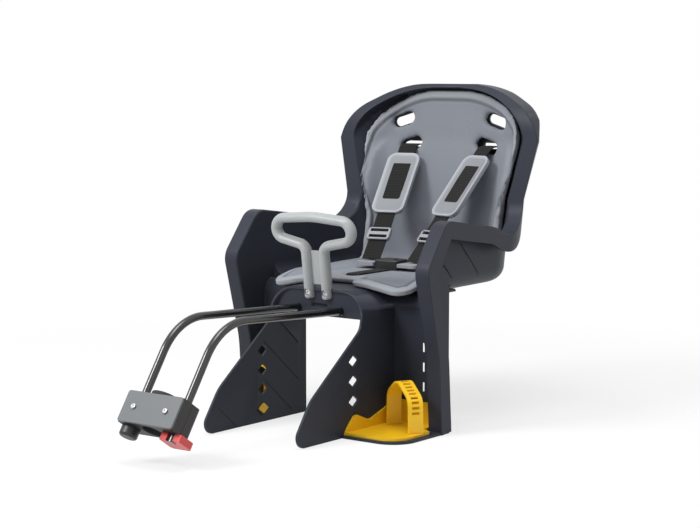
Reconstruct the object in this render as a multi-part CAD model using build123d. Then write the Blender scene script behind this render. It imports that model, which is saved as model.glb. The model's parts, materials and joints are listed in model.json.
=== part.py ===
from build123d import *
import math
import os

# Child bike seat that hangs behind the saddle on a bent bar.
# Millimetres, floor at z = 0, the child faces -Y, the child's left is +X.

# Seat shell: walls and levels
WALL = 4.0
PAN_Z = 214.0
TOP_Z = 523.0
ARM_TOP_Z = 324.0
LEAN = 10.0
HEAD_LEAN = 2.0
SHELL_SPAN = 700.0

# Seat shell: bucket in plan
ARM_HALF = 174.0
WAIST_HALF = 163.0
WING_HALF = 181.0
WAIST_Z = 340.0
WING_Z = 432.0
BACK_Y = 368.0
WAIST_Y = 246.0
BACK_CORNER = 90.0
PAN_CORNER = 22.0
TOP_HALF = 201.0
TOP_CROWN_HALF = 88.0
TOP_SHOULDER = 56.0
TOP_CORNER = 95.0
TOP_CROWN = 200.0
TOP_RIM = 7.0

# Turned rim
RIM_WIDTH = 26.0
LIP_DEPTH = 27.0
KNEE_Y = 12.0
KNEE_Z = 252.0
COLUMN_FOOT_Y = 54.0
COLUMN_LEAN = 8.0
COLUMN_BEND_Z = 115.0
ARM_FRONT_RUN = 54.0
ARM_REAR_Y = 210.0
ARM_REAR_DROP = 20.0
VALLEY_Y = 258.0
VALLEY_DROP = 41.0
BACK_FOOT_DROP = 12.0
RIM_Y = 317.0
RIM_LEAN = 5.0
RIM_TURN_Z = 470.0
RIM_HEAD_Y = 354.0
RIM_HEAD_SLOPE = 0.6
RIM_BENDS = (150.0, 30.0, 30.0, 60.0, 45.0, 50.0, 90.0)

# Wheel tunnel, fins and leg guards
TUNNEL_HALF = 91.0
TUNNEL_CORNER = 42.0
FIN_TOE_Y = -174.0
FIN_SHIN_Y = -128.0
FIN_SHIN_Z = 66.0
FIN_BROW_Y = -7.0
FIN_BROW_Z = 158.0
GUARD_REAR_Y = 83.0
WATERFALL = 28.0
SOLE_FRONT_Y = -54.0
SOLE_HALF = 196.0
SOLE_CORNER = 40.0
PANEL_Y = 7.0
PANEL_FOOT_Z = 171.0
DIAMOND_Y = -25.0
DIAMOND_TOP_Z = 113.0
DIAMOND_PITCH = 30.5
DIAMOND_COUNT = 4
DIAMOND_LONG = 25.0
DIAMOND_TALL = 19.0
SLOT_X = 145.0
SLOT_STEP_X = 12.0
SLOT_WIDE = 5.5
SLOT_TALL = 14.5
SLOT_RISE = 13.0
SLOT_COUNT = 4
GROOVE = 1.2
GROOVE_WIDE = 2.5
GROOVE_FALL = 40.0
GROOVE_PITCH = 60.0
GROOVE_TOP_Z = 166.0
GROOVE_RUNS = ((15.0, 62.0), (-24.0, 61.0), (-23.0, 44.0), (-42.0, -28.0), (-131.0, -87.0))
SIDE_GROOVES = ((136.0, 281.0), (88.0, 251.0))
SIDE_GROOVE_RUN = 58.0
PANEL_SLOT_HALF = 15.5
PANEL_SLOT_TALL = 6.0
PANEL_SLOT_Z = 187.5

# Strap slots in the back and the pan
STRAP_WIDE = 32.0
STRAP_THICK = 2.0
SLOT_ROOM = 6.0
UPPER_SLOT_X = 94.0
UPPER_SLOT_Z = 462.0
LOWER_SLOT_X = 77.0
LOWER_SLOT_Z = 421.0
BACK_SLOT_TALL = 16.0
BACK_SLOT_TILT = 17.0
CROTCH_WIDE = 25.0
CROTCH_Y = 92.0
CROTCH_TAIL = 14.0

# Foam pad
PAD_THICK = 12.0
PAD_HALF = 154.0
PAD_WAIST_HALF = 136.0
PAD_TOP_GAP = 3.0
PAD_WAIST_Z = 300.0
PAD_FLARE_Z = 380.0
PAD_BEND = 30.0
PAD_SHOULDER = 52.0
PAD_CROWN_HALF = 76.0
PAD_TOP_CORNER = 70.0
PAD_CROWN = 160.0
PAD_LOBE_Y = 34.0
PAD_NOTCH_Y = 72.0
PAD_LOBE_STEP = 12.0
PAD_LOBE_HALF = 120.0
PAD_LOBE_REACH = 8.0
PAD_SIDE_HALF = 150.0
PAD_SIDE_REACH = 50.0
PAD_LOBE_BENDS = (8.0, 16.0, 24.0, 20.0, 0.0)

# Harness
BUCKLE_Y = 195.0
BUCKLE_WIDE = 46.0
BUCKLE_LONG = 36.0
BUCKLE_TALL = 16.0
BUCKLE_CORNER = 7.0
BUCKLE_ROUND = 2.5
TONGUE_REACH = 60.0
TONGUE_WIDE = 38.0
TONGUE_THICK = 6.0
TONGUE_BLADE_HALF = 9.0
TONGUE_CORNER = 8.0
TONGUE_EYE = 6.0
BUTTON_WIDE = 18.0
BUTTON_LONG = 13.0
BUTTON_STROKE = 2.0
BUTTON_PROUD = 1.0
BUTTON_ROUND = 1.2
BUTTON_WALL = 4.0
SPRING_RISE = 2.4
SPRING_GAUGE = 0.6
STRAP_FOOT_X = 42.0
SHOULDER_PAD_LONG = 126.0
SHOULDER_PAD_WIDE = 58.0
SHOULDER_PAD_BORDER = 13.0
SHOULDER_PAD_WINDOW = 68.0
SHOULDER_PAD_BEVEL = 2.5
SHOULDER_PAD_THICK = 10.0
SHOULDER_PAD_AT = 84.0
ADJUSTER_LONG = 24.0
ADJUSTER_WIDE = 40.0
ADJUSTER_THICK = 8.0
ADJUSTER_CORNER = 5.0
ADJUSTER_ROUND = 1.5
ADJUSTER_AT = 190.0
STRAP_TAIL = 10.0

# Grab handle: bent oval tube, heights above its foot
HANDLE_WIDE = 15.5
HANDLE_DEEP = 20.0
HANDLE_FOOT_Y = 7.0
HANDLE_FOOT_Z = 198.0
HANDLE_LEAN = 7.5
HANDLE_LEG_X = 17.0
HANDLE_FORK = 82.0
HANDLE_LOBE = (80.0, 95.0)
HANDLE_BROW = (66.0, 123.0)
HANDLE_CROWN = 128.0
HANDLE_BENDS = (14.0, 16.0, 18.0, 200.0)
HANDLE_ROUND = 4.0
HANDLE_WEB_LOW = 22.0
HANDLE_WEB_HIGH = 74.0
HANDLE_WEB = 5.0
HANDLE_SINK = 8.0
HANDLE_SCREW_RISE = 10.0
HANDLE_BLOCK = 12.0
HANDLE_SOCKET = 60.0
SCREW = 5.0
SCREW_HEAD = 10.0
HEAD_TALL = 0.4
HEAD_CROWN = 0.15
HEAD_SOCKET = 0.2

# Carrier bar and its cradle under the pan
BAR = 12.0
BAR_HALF = 41.0
BAR_ROOM = 0.5
BAR_PANEL_Z = 181.0
BAR_SLOPE = 2.7
BAR_BEND = 95.0
BAR_TAIL_Y = 211.0
CRADLE_Y = 161.0
CRADLE_LONG = 70.0
CRADLE_HALF = 60.0
CRADLE_RIB = 5.0
PLATE_GAUGE = 3.0
BOLT = 6.0
BOLT_STEP = 40.0

# Seat tube bracket
TUBE = 31.8
LINER = 2.5
CLAMP_TILT = 34.0
CLAMP_Y = -352.7
CLAMP_Z = 69.3
CLAMP_HALF = 51.5
CLAMP_TALL = 48.0
CLAMP_FRONT = 19.7
CLAMP_REAR = 22.0
CLAMP_SPLIT = 0.5
CLAMP_SCREW_X = 30.0
FACE_GAUGE = 3.0
FACE_CORNER = 4.0
PLATE_SCREW_HEAD = 8.0
BAR_STUB = 12.0
END_CAP = 27.0
END_CAP_FLOOR = 3.0
END_CAP_ROUND = 4.0
COLLAR = 5.0
LOCK_HALF = 19.0
LOCK_THICK = 11.0
LOCK_STROKE = 5.0
LOCK_RAIL = 3.0
LOCK_RAIL_X = 28.0
LOCK_RAIL_LONG = 10.0
LOCK_NOSE = 3.0

# Footrests
TRAY = 4.0
TRAY_INSET = 6.0
TRAY_FRONT_Y = -50.0
TRAY_WALL_Z = 42.0
TRAY_WALL_BENDS = (0.0, 0.0, 6.0, 16.0, 22.0, 10.0, 4.0)
HEEL_STEP = 21.0
HEEL_DROP = 8.0
WAVE_LONG = 35.0
WAVE_LOW = 23.0
WAVE_HIGH = 9.0
HEEL_CORNER = 9.0
TAB_ROOM = 1.2
FOOT_STRAP_WIDE = 24.0
FOOT_STRAP_THICK = 3.0
FOOT_STRAP_TALL = 76.0
FOOT_STRAP_SHOULDER = 52.0
FOOT_STRAP_BEND = 22.0
FOOT_STRAP_CROWN = 0.45
FOOT_STRAP_TOE_Y = 8.0
FOOT_STRAP_INSET = 7.0
RUNG = 4.0
RUNG_PITCH = 8.0
RUNGS_SLOPE = 6
RUNGS_FALL = 3

# Clearances
REST_GAP = 0.3
FIT_GAP = 0.1
SLIDE_GAP = 0.4


def fitted_radii(corners, radii, closed):
    # radii kept within the straights that they round off
    count = len(corners)
    fitted = [radius if closed or 0 < index < count - 1 else 0 for index, radius in enumerate(radii)]
    reach = []
    for index, corner in enumerate(corners):
        if fitted[index] <= 0:
            reach.append(0)
            continue
        angle = (corners[index - 1] - corner).get_angle(corners[(index + 1) % count] - corner)
        reach.append(1 / math.tan(math.radians(angle) / 2))
    for index in range(count if closed else count - 1):
        following = (index + 1) % count
        room = (corners[following] - corners[index]).length
        need = fitted[index] * reach[index] + fitted[following] * reach[following]
        if need > room:
            fitted[index] *= room / need
            fitted[following] *= room / need
    return fitted


def corner_edges(points, radii, closed=True):
    corners = [Vector(*point) for point in points]
    count = len(corners)
    radii = fitted_radii(corners, radii, closed)
    starts, ends, middles = [], [], []
    for index, (corner, radius) in enumerate(zip(corners, radii)):
        free_end = not closed and index in (0, count - 1)
        if radius <= 0 or free_end:
            starts.append(corner)
            ends.append(corner)
            middles.append(None)
            continue
        before = (corners[index - 1] - corner).normalized()
        after = (corners[(index + 1) % count] - corner).normalized()
        half = math.radians(before.get_angle(after)) / 2
        reach = radius / math.tan(half)
        starts.append(corner + before * reach)
        ends.append(corner + after * reach)
        bisector = (before + after).normalized()
        middles.append(corner + bisector * (radius / math.sin(half) - radius))
    edges = []
    for index in range(count):
        if middles[index] is not None:
            edges.append(Edge.make_three_point_arc(starts[index], middles[index], ends[index]))
        following = (index + 1) % count
        if closed or index < count - 1:
            if (starts[following] - ends[index]).length > 1e-6:
                edges.append(Edge.make_line(ends[index], starts[following]))
    return edges


def prism(points, radii, direction):
    if isinstance(radii, (int, float)):
        radii = [radii] * len(points)
    return Solid.extrude(Face(Wire(corner_edges(points, radii))), Vector(*direction))


def side_prism(points, radii, x0, x1):
    return prism([(x0, y, z) for y, z in points], radii, (x1 - x0, 0, 0))


def front_prism(points, radii, y0, y1):
    return prism([(x, y0, z) for x, z in points], radii, (0, y1 - y0, 0))


def plan_prism(points, radii, z0, z1):
    return prism([(x, y, z0) for x, y in points], radii, (0, 0, z1 - z0))


def box(x0, x1, y0, y1, z0, z1):
    return Pos(x0, y0, z0) * Solid.make_box(x1 - x0, y1 - y0, z1 - z0)


def strip(points, radii, thick):
    # closed outline between a path and its parallel, thick to the left of the path
    count = len(points)
    normals = []
    for (a0, b0), (a1, b1) in zip(points, points[1:]):
        length = math.hypot(a1 - a0, b1 - b0)
        normals.append((-(b1 - b0) / length, (a1 - a0) / length))
    parallel, parallel_radii = [], []
    for index, (a, b) in enumerate(points):
        first = normals[max(index - 1, 0)]
        second = normals[min(index, count - 2)]
        scale = thick / (1 + first[0] * second[0] + first[1] * second[1])
        parallel.append((a + (first[0] + second[0]) * scale, b + (first[1] + second[1]) * scale))
        turn = first[0] * second[1] - first[1] * second[0]
        radius = radii[index]
        inside = math.copysign(thick, turn * thick)
        parallel_radii.append(max(radius - inside, 0) if radius else 0)
    return list(points) + parallel[::-1], list(radii) + parallel_radii[::-1]


def both_sides(shape):
    return shape + mirror(shape, about=Plane.YZ)


# Seat shell

lean_slope = math.tan(math.radians(LEAN))
head_slope = math.tan(math.radians(HEAD_LEAN))
rim_slope = math.tan(math.radians(RIM_LEAN))
front_cut_y = KNEE_Y - 60
fin_inner = TUNNEL_HALF - WALL
waterfall_y = GUARD_REAR_Y - WALL + WATERFALL
arm_slope = (WAIST_HALF - ARM_HALF) / (WAIST_Y - KNEE_Y)


def back_y(z):
    return BACK_Y + (z - WING_Z) * (lean_slope if z < WING_Z else head_slope)


def rim_y(z):
    return RIM_Y + (z - WING_Z) * rim_slope


def side_x(y, grow):
    return ARM_HALF + (y - KNEE_Y) * arm_slope + grow


def bucket(grow, corner):
    # room inside the seat, grown outwards on all sides, with a rounded bottom edge
    sections = []
    floor = PAN_Z - grow
    levels = ((floor, WAIST_HALF), (WAIST_Z, WAIST_HALF), (WING_Z, WING_HALF), (TOP_Z + 40, WING_HALF))
    for z, half in levels:
        rear = back_y(z) + grow / math.cos(math.radians(LEAN))
        extra = half - WAIST_HALF
        front_half = side_x(front_cut_y, grow) + extra
        rear_half = side_x(rear, grow) + extra
        points = [(front_half, front_cut_y, z), (rear_half, rear, z),
                  (-rear_half, rear, z), (-front_half, front_cut_y, z)]
        sections.append(Wire(corner_edges(points, [0, BACK_CORNER + grow, BACK_CORNER + grow, 0])))
    room = Solid.make_loft(sections, True)
    if corner > 0:
        low = [edge for edge in room.edges()
               if edge.bounding_box().max.Z < floor + 0.01 and edge.center().Y > front_cut_y + 1]
        room = room.fillet(corner, low)
    return room


def head_cut(shrink, drop):
    # what lies outside the rounded top of the back
    low = WING_Z - 30
    half = TOP_HALF - shrink
    side = [(half, low - 1), (half, TOP_Z - TOP_SHOULDER - drop), (TOP_CROWN_HALF - drop, TOP_Z - drop)]
    corners = [0, TOP_CORNER - drop, TOP_CROWN - drop]
    arch = front_prism(side + [(-x, z) for x, z in reversed(side)], corners + corners[::-1], 0, SHELL_SPAN)
    return box(-SHELL_SPAN, SHELL_SPAN, 0, SHELL_SPAN, low, TOP_Z + 100) - arch


def guard_plan(grow, y0, y1, z0, z1):
    return plan_prism([(0, y0), (side_x(y0, grow), y0), (side_x(y1, grow), y1), (0, y1)], 0, z0, z1)


ABOVE = 30.0
rim_path = [(COLUMN_FOOT_Y, 0), (COLUMN_FOOT_Y - COLUMN_LEAN, COLUMN_BEND_Z), (KNEE_Y, KNEE_Z),
            (KNEE_Y + ARM_FRONT_RUN, ARM_TOP_Z), (ARM_REAR_Y, ARM_TOP_Z - ARM_REAR_DROP),
            (VALLEY_Y, ARM_TOP_Z - VALLEY_DROP),
            (rim_y(ARM_TOP_Z - BACK_FOOT_DROP), ARM_TOP_Z - BACK_FOOT_DROP),
            (rim_y(RIM_TURN_Z), RIM_TURN_Z), (RIM_HEAD_Y + ABOVE * RIM_HEAD_SLOPE, TOP_Z + ABOVE)]
rim_radii = [0, *RIM_BENDS, 0]


def make_shell():
    room = bucket(0, PAN_CORNER)
    inner = room - head_cut(RIM_WIDTH, TOP_RIM)
    outer = bucket(WALL, PAN_CORNER + WALL) - head_cut(RIM_WIDTH - WALL, TOP_RIM - WALL)
    lip_inner = bucket(RIM_WIDTH - WALL, 0) - head_cut(WALL, WALL)
    lip_outer = bucket(RIM_WIDTH, 0) - head_cut(0, 0)

    behind_rim = side_prism(rim_path + [(SHELL_SPAN, TOP_Z + ABOVE), (SHELL_SPAN, 0)],
                            rim_radii + [0, 0], -SHELL_SPAN, SHELL_SPAN)
    flange_points, flange_radii = strip(rim_path, rim_radii, -WALL)
    lip_points, lip_radii = strip(rim_path, rim_radii, -LIP_DEPTH)
    flange_band = side_prism(flange_points, flange_radii, -SHELL_SPAN, SHELL_SPAN)
    lip_band = side_prism(lip_points, lip_radii, -SHELL_SPAN, SHELL_SPAN)

    # bucket with its floor cleared where the legs go down
    leg_top = PAN_Z + PAN_CORNER + WALL
    shoulder = TUNNEL_HALF - TUNNEL_CORNER
    leg_clear = box(shoulder, SHELL_SPAN, front_cut_y - 10, waterfall_y, 0, leg_top)
    tub = outer - inner - both_sides(leg_clear)
    tub = tub & behind_rim

    # leg guard walls of one side
    y_low, y_high = front_cut_y, waterfall_y
    outer_wall = guard_plan(WALL, y_low, y_high, 0, leg_top)
    outer_wall = outer_wall - guard_plan(0, y_low - 1, y_high + 1, -1, leg_top + 1)
    outer_wall = outer_wall & behind_rim
    front_face = GUARD_REAR_Y - WALL
    band_points, band_radii = strip([(waterfall_y + 20, PAN_Z), (front_face, PAN_Z), (front_face, 0)],
                                    [0, WATERFALL, 0], WALL)
    within = guard_plan(WALL, y_low, waterfall_y + 30, 0, WAIST_Z)
    rear_wall = side_prism(band_points, band_radii, shoulder, ARM_HALF + 50) & within
    rear_wall = rear_wall - box(0, SHELL_SPAN, waterfall_y, SHELL_SPAN, 0, PAN_Z - WALL)
    end_wall = box(shoulder, ARM_HALF + 50, waterfall_y - WALL, waterfall_y, PAN_Z - WALL, leg_top) & within
    end_wall = both_sides(end_wall) - room
    guard = outer_wall + rear_wall

    # turned rim: flange and return lip
    leg_room = guard_plan(0, y_low - 1, waterfall_y + 1, -1, leg_top)
    low_outer = guard_plan(RIM_WIDTH, y_low, waterfall_y, 0, PAN_Z)
    low_inner = guard_plan(RIM_WIDTH - WALL, y_low - 1, waterfall_y + 1, -1, PAN_Z)
    flange = (lip_outer & flange_band) - inner
    flange = flange - both_sides(leg_room)
    rear = WALL * 1.5 / math.cos(math.radians(LEAN))
    before_back = side_prism([(front_cut_y, 0), (back_y(0) + rear, 0), (back_y(WING_Z) + rear, WING_Z),
                              (back_y(TOP_Z) + rear, TOP_Z), (front_cut_y, TOP_Z)], 0,
                             -SHELL_SPAN, SHELL_SPAN)
    lip = (lip_outer - lip_inner) & lip_band
    lip = (lip & before_back) - both_sides(low_inner)
    low_flange = (low_outer & flange_band) - leg_room
    low_lip = (low_outer - low_inner) & lip_band

    tunnel_void = front_prism([(fin_inner, -1), (fin_inner, PAN_Z - WALL), (-fin_inner, PAN_Z - WALL),
                               (-fin_inner, -1)], [0, TUNNEL_CORNER - WALL, TUNNEL_CORNER - WALL, 0],
                              -SHELL_SPAN, waterfall_y)
    body = tub + end_wall + both_sides(guard) - tunnel_void
    body = body + flange + lip + both_sides(low_flange) + both_sides(low_lip)

    # wheel tunnel with its fins
    fin_path = [(PANEL_Y + 2, PAN_Z + 20), (FIN_BROW_Y, FIN_BROW_Z), (FIN_SHIN_Y, FIN_SHIN_Z),
                (FIN_TOE_Y, 0), (GUARD_REAR_Y, 0), (GUARD_REAR_Y, PAN_Z - WATERFALL),
                (waterfall_y, PAN_Z - WALL / 2), (waterfall_y, PAN_Z + 20)]
    fin_side = side_prism(fin_path, [0, 25, 70, 16, 0, 0, 0, 0], -SHELL_SPAN, SHELL_SPAN)
    hood = front_prism([(TUNNEL_HALF, 0), (TUNNEL_HALF, PAN_Z), (-TUNNEL_HALF, PAN_Z), (-TUNNEL_HALF, 0)],
                       [0, TUNNEL_CORNER, TUNNEL_CORNER, 0], -SHELL_SPAN, waterfall_y)
    tunnel = (hood - tunnel_void) & fin_side
    panel = hood & box(-TUNNEL_HALF, TUNNEL_HALF, PANEL_Y, PANEL_Y + WALL, PANEL_FOOT_Z, PAN_Z)
    sole = plan_prism([(fin_inner, SOLE_FRONT_Y), (SOLE_HALF, SOLE_FRONT_Y), (SOLE_HALF, GUARD_REAR_Y),
                       (fin_inner, GUARD_REAR_Y)], [0, SOLE_CORNER, 10, 0], 0, WALL)
    body = body + tunnel + panel + both_sides(sole)
    return body


def bar_z(y):
    # height of the straight bar's middle, which rises towards the bracket
    return BAR_PANEL_Z + (PANEL_Y - y) * math.tan(math.radians(BAR_SLOPE))


bar_plane = Plane(origin=(0, CRADLE_Y, bar_z(CRADLE_Y)), x_dir=(1, 0, 0),
                  z_dir=(0, math.sin(math.radians(BAR_SLOPE)), math.cos(math.radians(BAR_SLOPE))))
clamp_plane = Plane(origin=(0, CLAMP_Y, CLAMP_Z), x_dir=(1, 0, 0),
                    z_dir=(0, math.sin(math.radians(CLAMP_TILT)), math.cos(math.radians(CLAMP_TILT))))


def rod(radius, start, end):
    # round bar between two points
    start, end = Vector(*start), Vector(*end)
    return Solid.make_cylinder(radius, (end - start).length, Plane(origin=start, z_dir=end - start))


handle_plane = Plane(origin=(0, HANDLE_FOOT_Y, HANDLE_FOOT_Z), x_dir=(1, 0, 0),
                     z_dir=(0, -math.sin(math.radians(HANDLE_LEAN)), math.cos(math.radians(HANDLE_LEAN))))
handle_screw_seat = HANDLE_SINK - HANDLE_DEEP / 2
handle_screw_end = HANDLE_DEEP / 2 + HANDLE_BLOCK - WALL


def handle_section(grow):
    return Ellipse(HANDLE_WIDE / 2 + grow, HANDLE_DEEP / 2 + grow)


def back_slots(tall):
    # openings for the shoulder straps at two heights
    slots = []
    half = STRAP_WIDE / 2 + SLOT_ROOM
    pill = front_prism([(-half, -tall / 2), (half, -tall / 2), (half, tall / 2), (-half, tall / 2)],
                       tall / 2 - FIT_GAP, WAIST_Y, SHELL_SPAN)
    for x, z in ((UPPER_SLOT_X, UPPER_SLOT_Z), (LOWER_SLOT_X, LOWER_SLOT_Z)):
        slots.append(both_sides(Pos(x, 0, z) * Rot(0, BACK_SLOT_TILT, 0) * pill))
    half = (CROTCH_WIDE + SLOT_ROOM) / 2
    slots.append(box(-half, half, CROTCH_Y - SLOT_ROOM, CROTCH_Y + SLOT_ROOM / 2,
                     PAN_Z - BACK_CORNER, PAN_Z + BACK_CORNER))
    return slots


def cradle():
    # ribs under the pan that sit on the bar, with two screw bosses
    top = PAN_Z - bar_z(CRADLE_Y) + 10
    half_long = CRADLE_LONG / 2
    ribs = []
    for y in (-half_long, 0, half_long):
        ribs.append(box(-CRADLE_HALF, CRADLE_HALF, y - CRADLE_RIB / 2, y + CRADLE_RIB / 2,
                        PLATE_GAUGE / 2, top))
    for x in (-CRADLE_HALF, CRADLE_HALF - CRADLE_RIB):
        ribs.append(box(x, x + CRADLE_RIB, -half_long, half_long, PLATE_GAUGE / 2 + BAR, top))
    bosses = []
    for y in (-BOLT_STEP / 2, BOLT_STEP / 2):
        boss = rod(BOLT + 1.5, (0, y, PLATE_GAUGE / 2), (0, y, top))
        bosses.append(boss)
    frame = ribs[0].fuse(*ribs[1:], *bosses)
    for x in (-BAR_HALF, BAR_HALF):
        frame = frame - rod(BAR / 2 + FIT_GAP, (x, -CRADLE_LONG, 0), (x, CRADLE_LONG, 0))
    for y in (-BOLT_STEP / 2, BOLT_STEP / 2):
        frame = frame - rod(BOLT / 2 + FIT_GAP, (0, y, -1), (0, y, top - 16))
    frame = bar_plane.location * frame
    return frame & box(-SHELL_SPAN, SHELL_SPAN, 0, SHELL_SPAN, 0, PAN_Z - WALL / 2)


def groove_cuts():
    # parallel grooves on the wheel side of the fins, and two on each outer wall
    cuts = []
    fall = math.tan(math.radians(GROOVE_FALL))
    for index, (y0, y1) in enumerate(GROOVE_RUNS):
        line_z = GROOVE_TOP_Z - index * GROOVE_PITCH
        points, radii = strip([(y0, line_z - y0 * fall), (y1, line_z - y1 * fall)], [0, 0], GROOVE_WIDE)
        cuts.append(both_sides(side_prism(points, radii, fin_inner - 1, fin_inner + GROOVE)))
    depth = guard_plan(WALL - GROOVE, front_cut_y, BACK_Y, 0, TOP_Z)
    for y, z in SIDE_GROOVES:
        points, radii = strip([(y, z), (y + SIDE_GROOVE_RUN, z - SIDE_GROOVE_RUN)], [0, 0], GROOVE_WIDE * 2)
        cuts.append(both_sides(side_prism(points, radii, WAIST_HALF - 40, SHELL_SPAN) - depth))
    return cuts


def shell_cuts():
    cuts = back_slots(BACK_SLOT_TALL) + groove_cuts()
    cuts.append(box(-PANEL_SLOT_HALF, PANEL_SLOT_HALF, PANEL_Y - 1, PANEL_Y + WALL + 1,
                    PANEL_SLOT_Z - PANEL_SLOT_TALL / 2, PANEL_SLOT_Z + PANEL_SLOT_TALL / 2))
    for index in range(DIAMOND_COUNT):
        z = DIAMOND_TOP_Z - index * DIAMOND_PITCH
        cuts.append(side_prism([(DIAMOND_Y - DIAMOND_LONG / 2, z), (DIAMOND_Y, z + DIAMOND_TALL / 2),
                                (DIAMOND_Y + DIAMOND_LONG / 2, z), (DIAMOND_Y, z - DIAMOND_TALL / 2)], 1.5,
                               -TUNNEL_HALF - 1, TUNNEL_HALF + 1))
    for index in range(SLOT_COUNT):
        z = DIAMOND_TOP_Z + SLOT_RISE - index * DIAMOND_PITCH
        for x in (SLOT_X, SLOT_X + SLOT_STEP_X):
            slot = box(x - SLOT_WIDE / 2, x + SLOT_WIDE / 2, GUARD_REAR_Y - WALL - 1, GUARD_REAR_Y + 1,
                       z - SLOT_TALL / 2, z + SLOT_TALL / 2)
            cuts.append(both_sides(slot))
    for x in (-BAR_HALF, BAR_HALF):
        cuts.append(rod(BAR / 2 + BAR_ROOM, (x, PANEL_Y - 30, bar_z(PANEL_Y - 30)),
                        (x, PANEL_Y + 30, bar_z(PANEL_Y + 30))))
    for x in (-HANDLE_LEG_X, HANDLE_LEG_X):
        socket = Solid.extrude(handle_section(REST_GAP).face(), Vector(0, 0, HANDLE_SOCKET))
        cuts.append(handle_plane.location * Pos(x, 0, -REST_GAP) * socket)
        cuts.append(handle_plane.location * rod(SCREW / 2 + FIT_GAP, (x, 0, HANDLE_SCREW_RISE),
                                                (x, handle_screw_end + FIT_GAP, HANDLE_SCREW_RISE)))
    return cuts


def handle_block():
    # thick pommel that the handle's legs are let into
    half = HANDLE_LEG_X + HANDLE_WIDE / 2 + WALL
    rear = HANDLE_FOOT_Y + HANDLE_DEEP / 2 + HANDLE_BLOCK
    return box(-half, half, PANEL_Y, rear, PANEL_SLOT_Z - PANEL_SLOT_TALL, PAN_Z - WALL / 2)


def finish_shell(body):
    body = body + cradle() + handle_block()
    return body - Compound(children=shell_cuts())


# Foam pad

def make_pad():
    near, far = REST_GAP, REST_GAP + PAD_THICK
    lining = bucket(-near, PAN_CORNER - near) - bucket(-far, PAN_CORNER - far)
    top = TOP_Z - TOP_RIM - PAD_TOP_GAP
    back_outline = [(PAD_WAIST_HALF, PAN_Z - WALL), (PAD_WAIST_HALF, PAD_WAIST_Z), (PAD_HALF, PAD_FLARE_Z),
                    (PAD_HALF, top - PAD_SHOULDER), (PAD_CROWN_HALF, top)]
    back_outline += [(-x, z) for x, z in reversed(back_outline)]
    corners = [0, PAD_BEND, PAD_BEND, PAD_TOP_CORNER, PAD_CROWN]
    face = front_prism(back_outline, corners + corners[::-1], -SHELL_SPAN, SHELL_SPAN)
    lobes = [(CROTCH_WIDE, PAD_NOTCH_Y), (CROTCH_WIDE + PAD_LOBE_STEP, PAD_LOBE_Y),
             (PAD_LOBE_HALF, PAD_LOBE_Y + PAD_LOBE_REACH), (PAD_SIDE_HALF, PAD_LOBE_Y + PAD_SIDE_REACH),
             (PAD_HALF + PAD_LOBE_STEP, SHELL_SPAN)]
    lobes = lobes + [(-x, y) for x, y in reversed(lobes)]
    plan = plan_prism(lobes, PAD_LOBE_BENDS + PAD_LOBE_BENDS[::-1], 0, SHELL_SPAN)
    pad = lining & face
    pad = pad & plan
    return pad - Compound(children=back_slots(BACK_SLOT_TALL + 4))


# Harness

pad_top = PAN_Z + REST_GAP + PAD_THICK
strap_head_y = back_y(LOWER_SLOT_Z) - PAD_THICK - STRAP_THICK * 1.5
buckle_low = pad_top + REST_GAP
tongue_low = buckle_low + (BUCKLE_TALL - TONGUE_THICK) / 2
strap_foot_z = tongue_low + TONGUE_THICK + STRAP_THICK


def strap_frame(side):
    # vertical plane that a shoulder strap runs in: x forward along the floor, y up
    head = Vector(side * LOWER_SLOT_X, strap_head_y, LOWER_SLOT_Z)
    foot = Vector(side * STRAP_FOOT_X, BUCKLE_Y, strap_foot_z)
    run = Vector(foot.X - head.X, foot.Y - head.Y, 0)
    across = run.cross(Vector(0, 0, 1)).normalized()
    return Plane(origin=head, x_dir=run, z_dir=across), run.length, head.Z - foot.Z


def flat_prism(points, radii, half):
    return prism([(a, b, -half) for a, b in points], radii, (0, 0, half * 2))


def make_strap(side):
    plane, run, drop = strap_frame(side)
    tail = PAD_THICK + WALL + STRAP_TAIL
    points, radii = strip([(-tail, 0), (0, 0), (run, -drop)], [0, STRAP_THICK * 3, 0], -STRAP_THICK)
    return plane.location * flat_prism(points, radii, STRAP_WIDE / 2)


def on_strap(side, along):
    # plane on the middle of the strap: x across, y down along the strap, z off its face
    plane, run, drop = strap_frame(side)
    slope = Vector(run, -drop, 0).normalized()
    normal = Vector(drop, run, 0).normalized()
    middle = slope * along - normal * (STRAP_THICK / 2)
    frame = Plane(origin=(middle.X, middle.Y, 0), x_dir=(0, 0, 1), z_dir=(normal.X, normal.Y, 0))
    return plane.location * frame.location


def rounded_block(wide, long, thick, corner):
    a, b = wide / 2, long / 2
    return plan_prism([(-a, -b), (a, -b), (a, b), (-a, b)], corner, -thick / 2, thick / 2)


def strap_passage(long):
    return rounded_block(STRAP_WIDE + SLIDE_GAP * 2, long, STRAP_THICK + SLIDE_GAP * 2, 0)


def make_shoulder_pad(side):
    corner = SHOULDER_PAD_BORDER
    block = rounded_block(SHOULDER_PAD_WIDE, SHOULDER_PAD_LONG, SHOULDER_PAD_THICK, corner)
    rims = [edge for edge in block.edges() if abs(abs(edge.center().Z) - SHOULDER_PAD_THICK / 2) < 0.01]
    block = block.chamfer(SHOULDER_PAD_BEVEL, None, rims)
    wide = SHOULDER_PAD_WIDE - SHOULDER_PAD_BORDER * 2
    window = rounded_block(wide, SHOULDER_PAD_WINDOW, SHOULDER_PAD_THICK, corner / 2)
    window = Pos(0, 0, SHOULDER_PAD_THICK / 2) * window
    return on_strap(side, SHOULDER_PAD_AT) * (block - strap_passage(SHOULDER_PAD_LONG * 2) - window)


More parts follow.
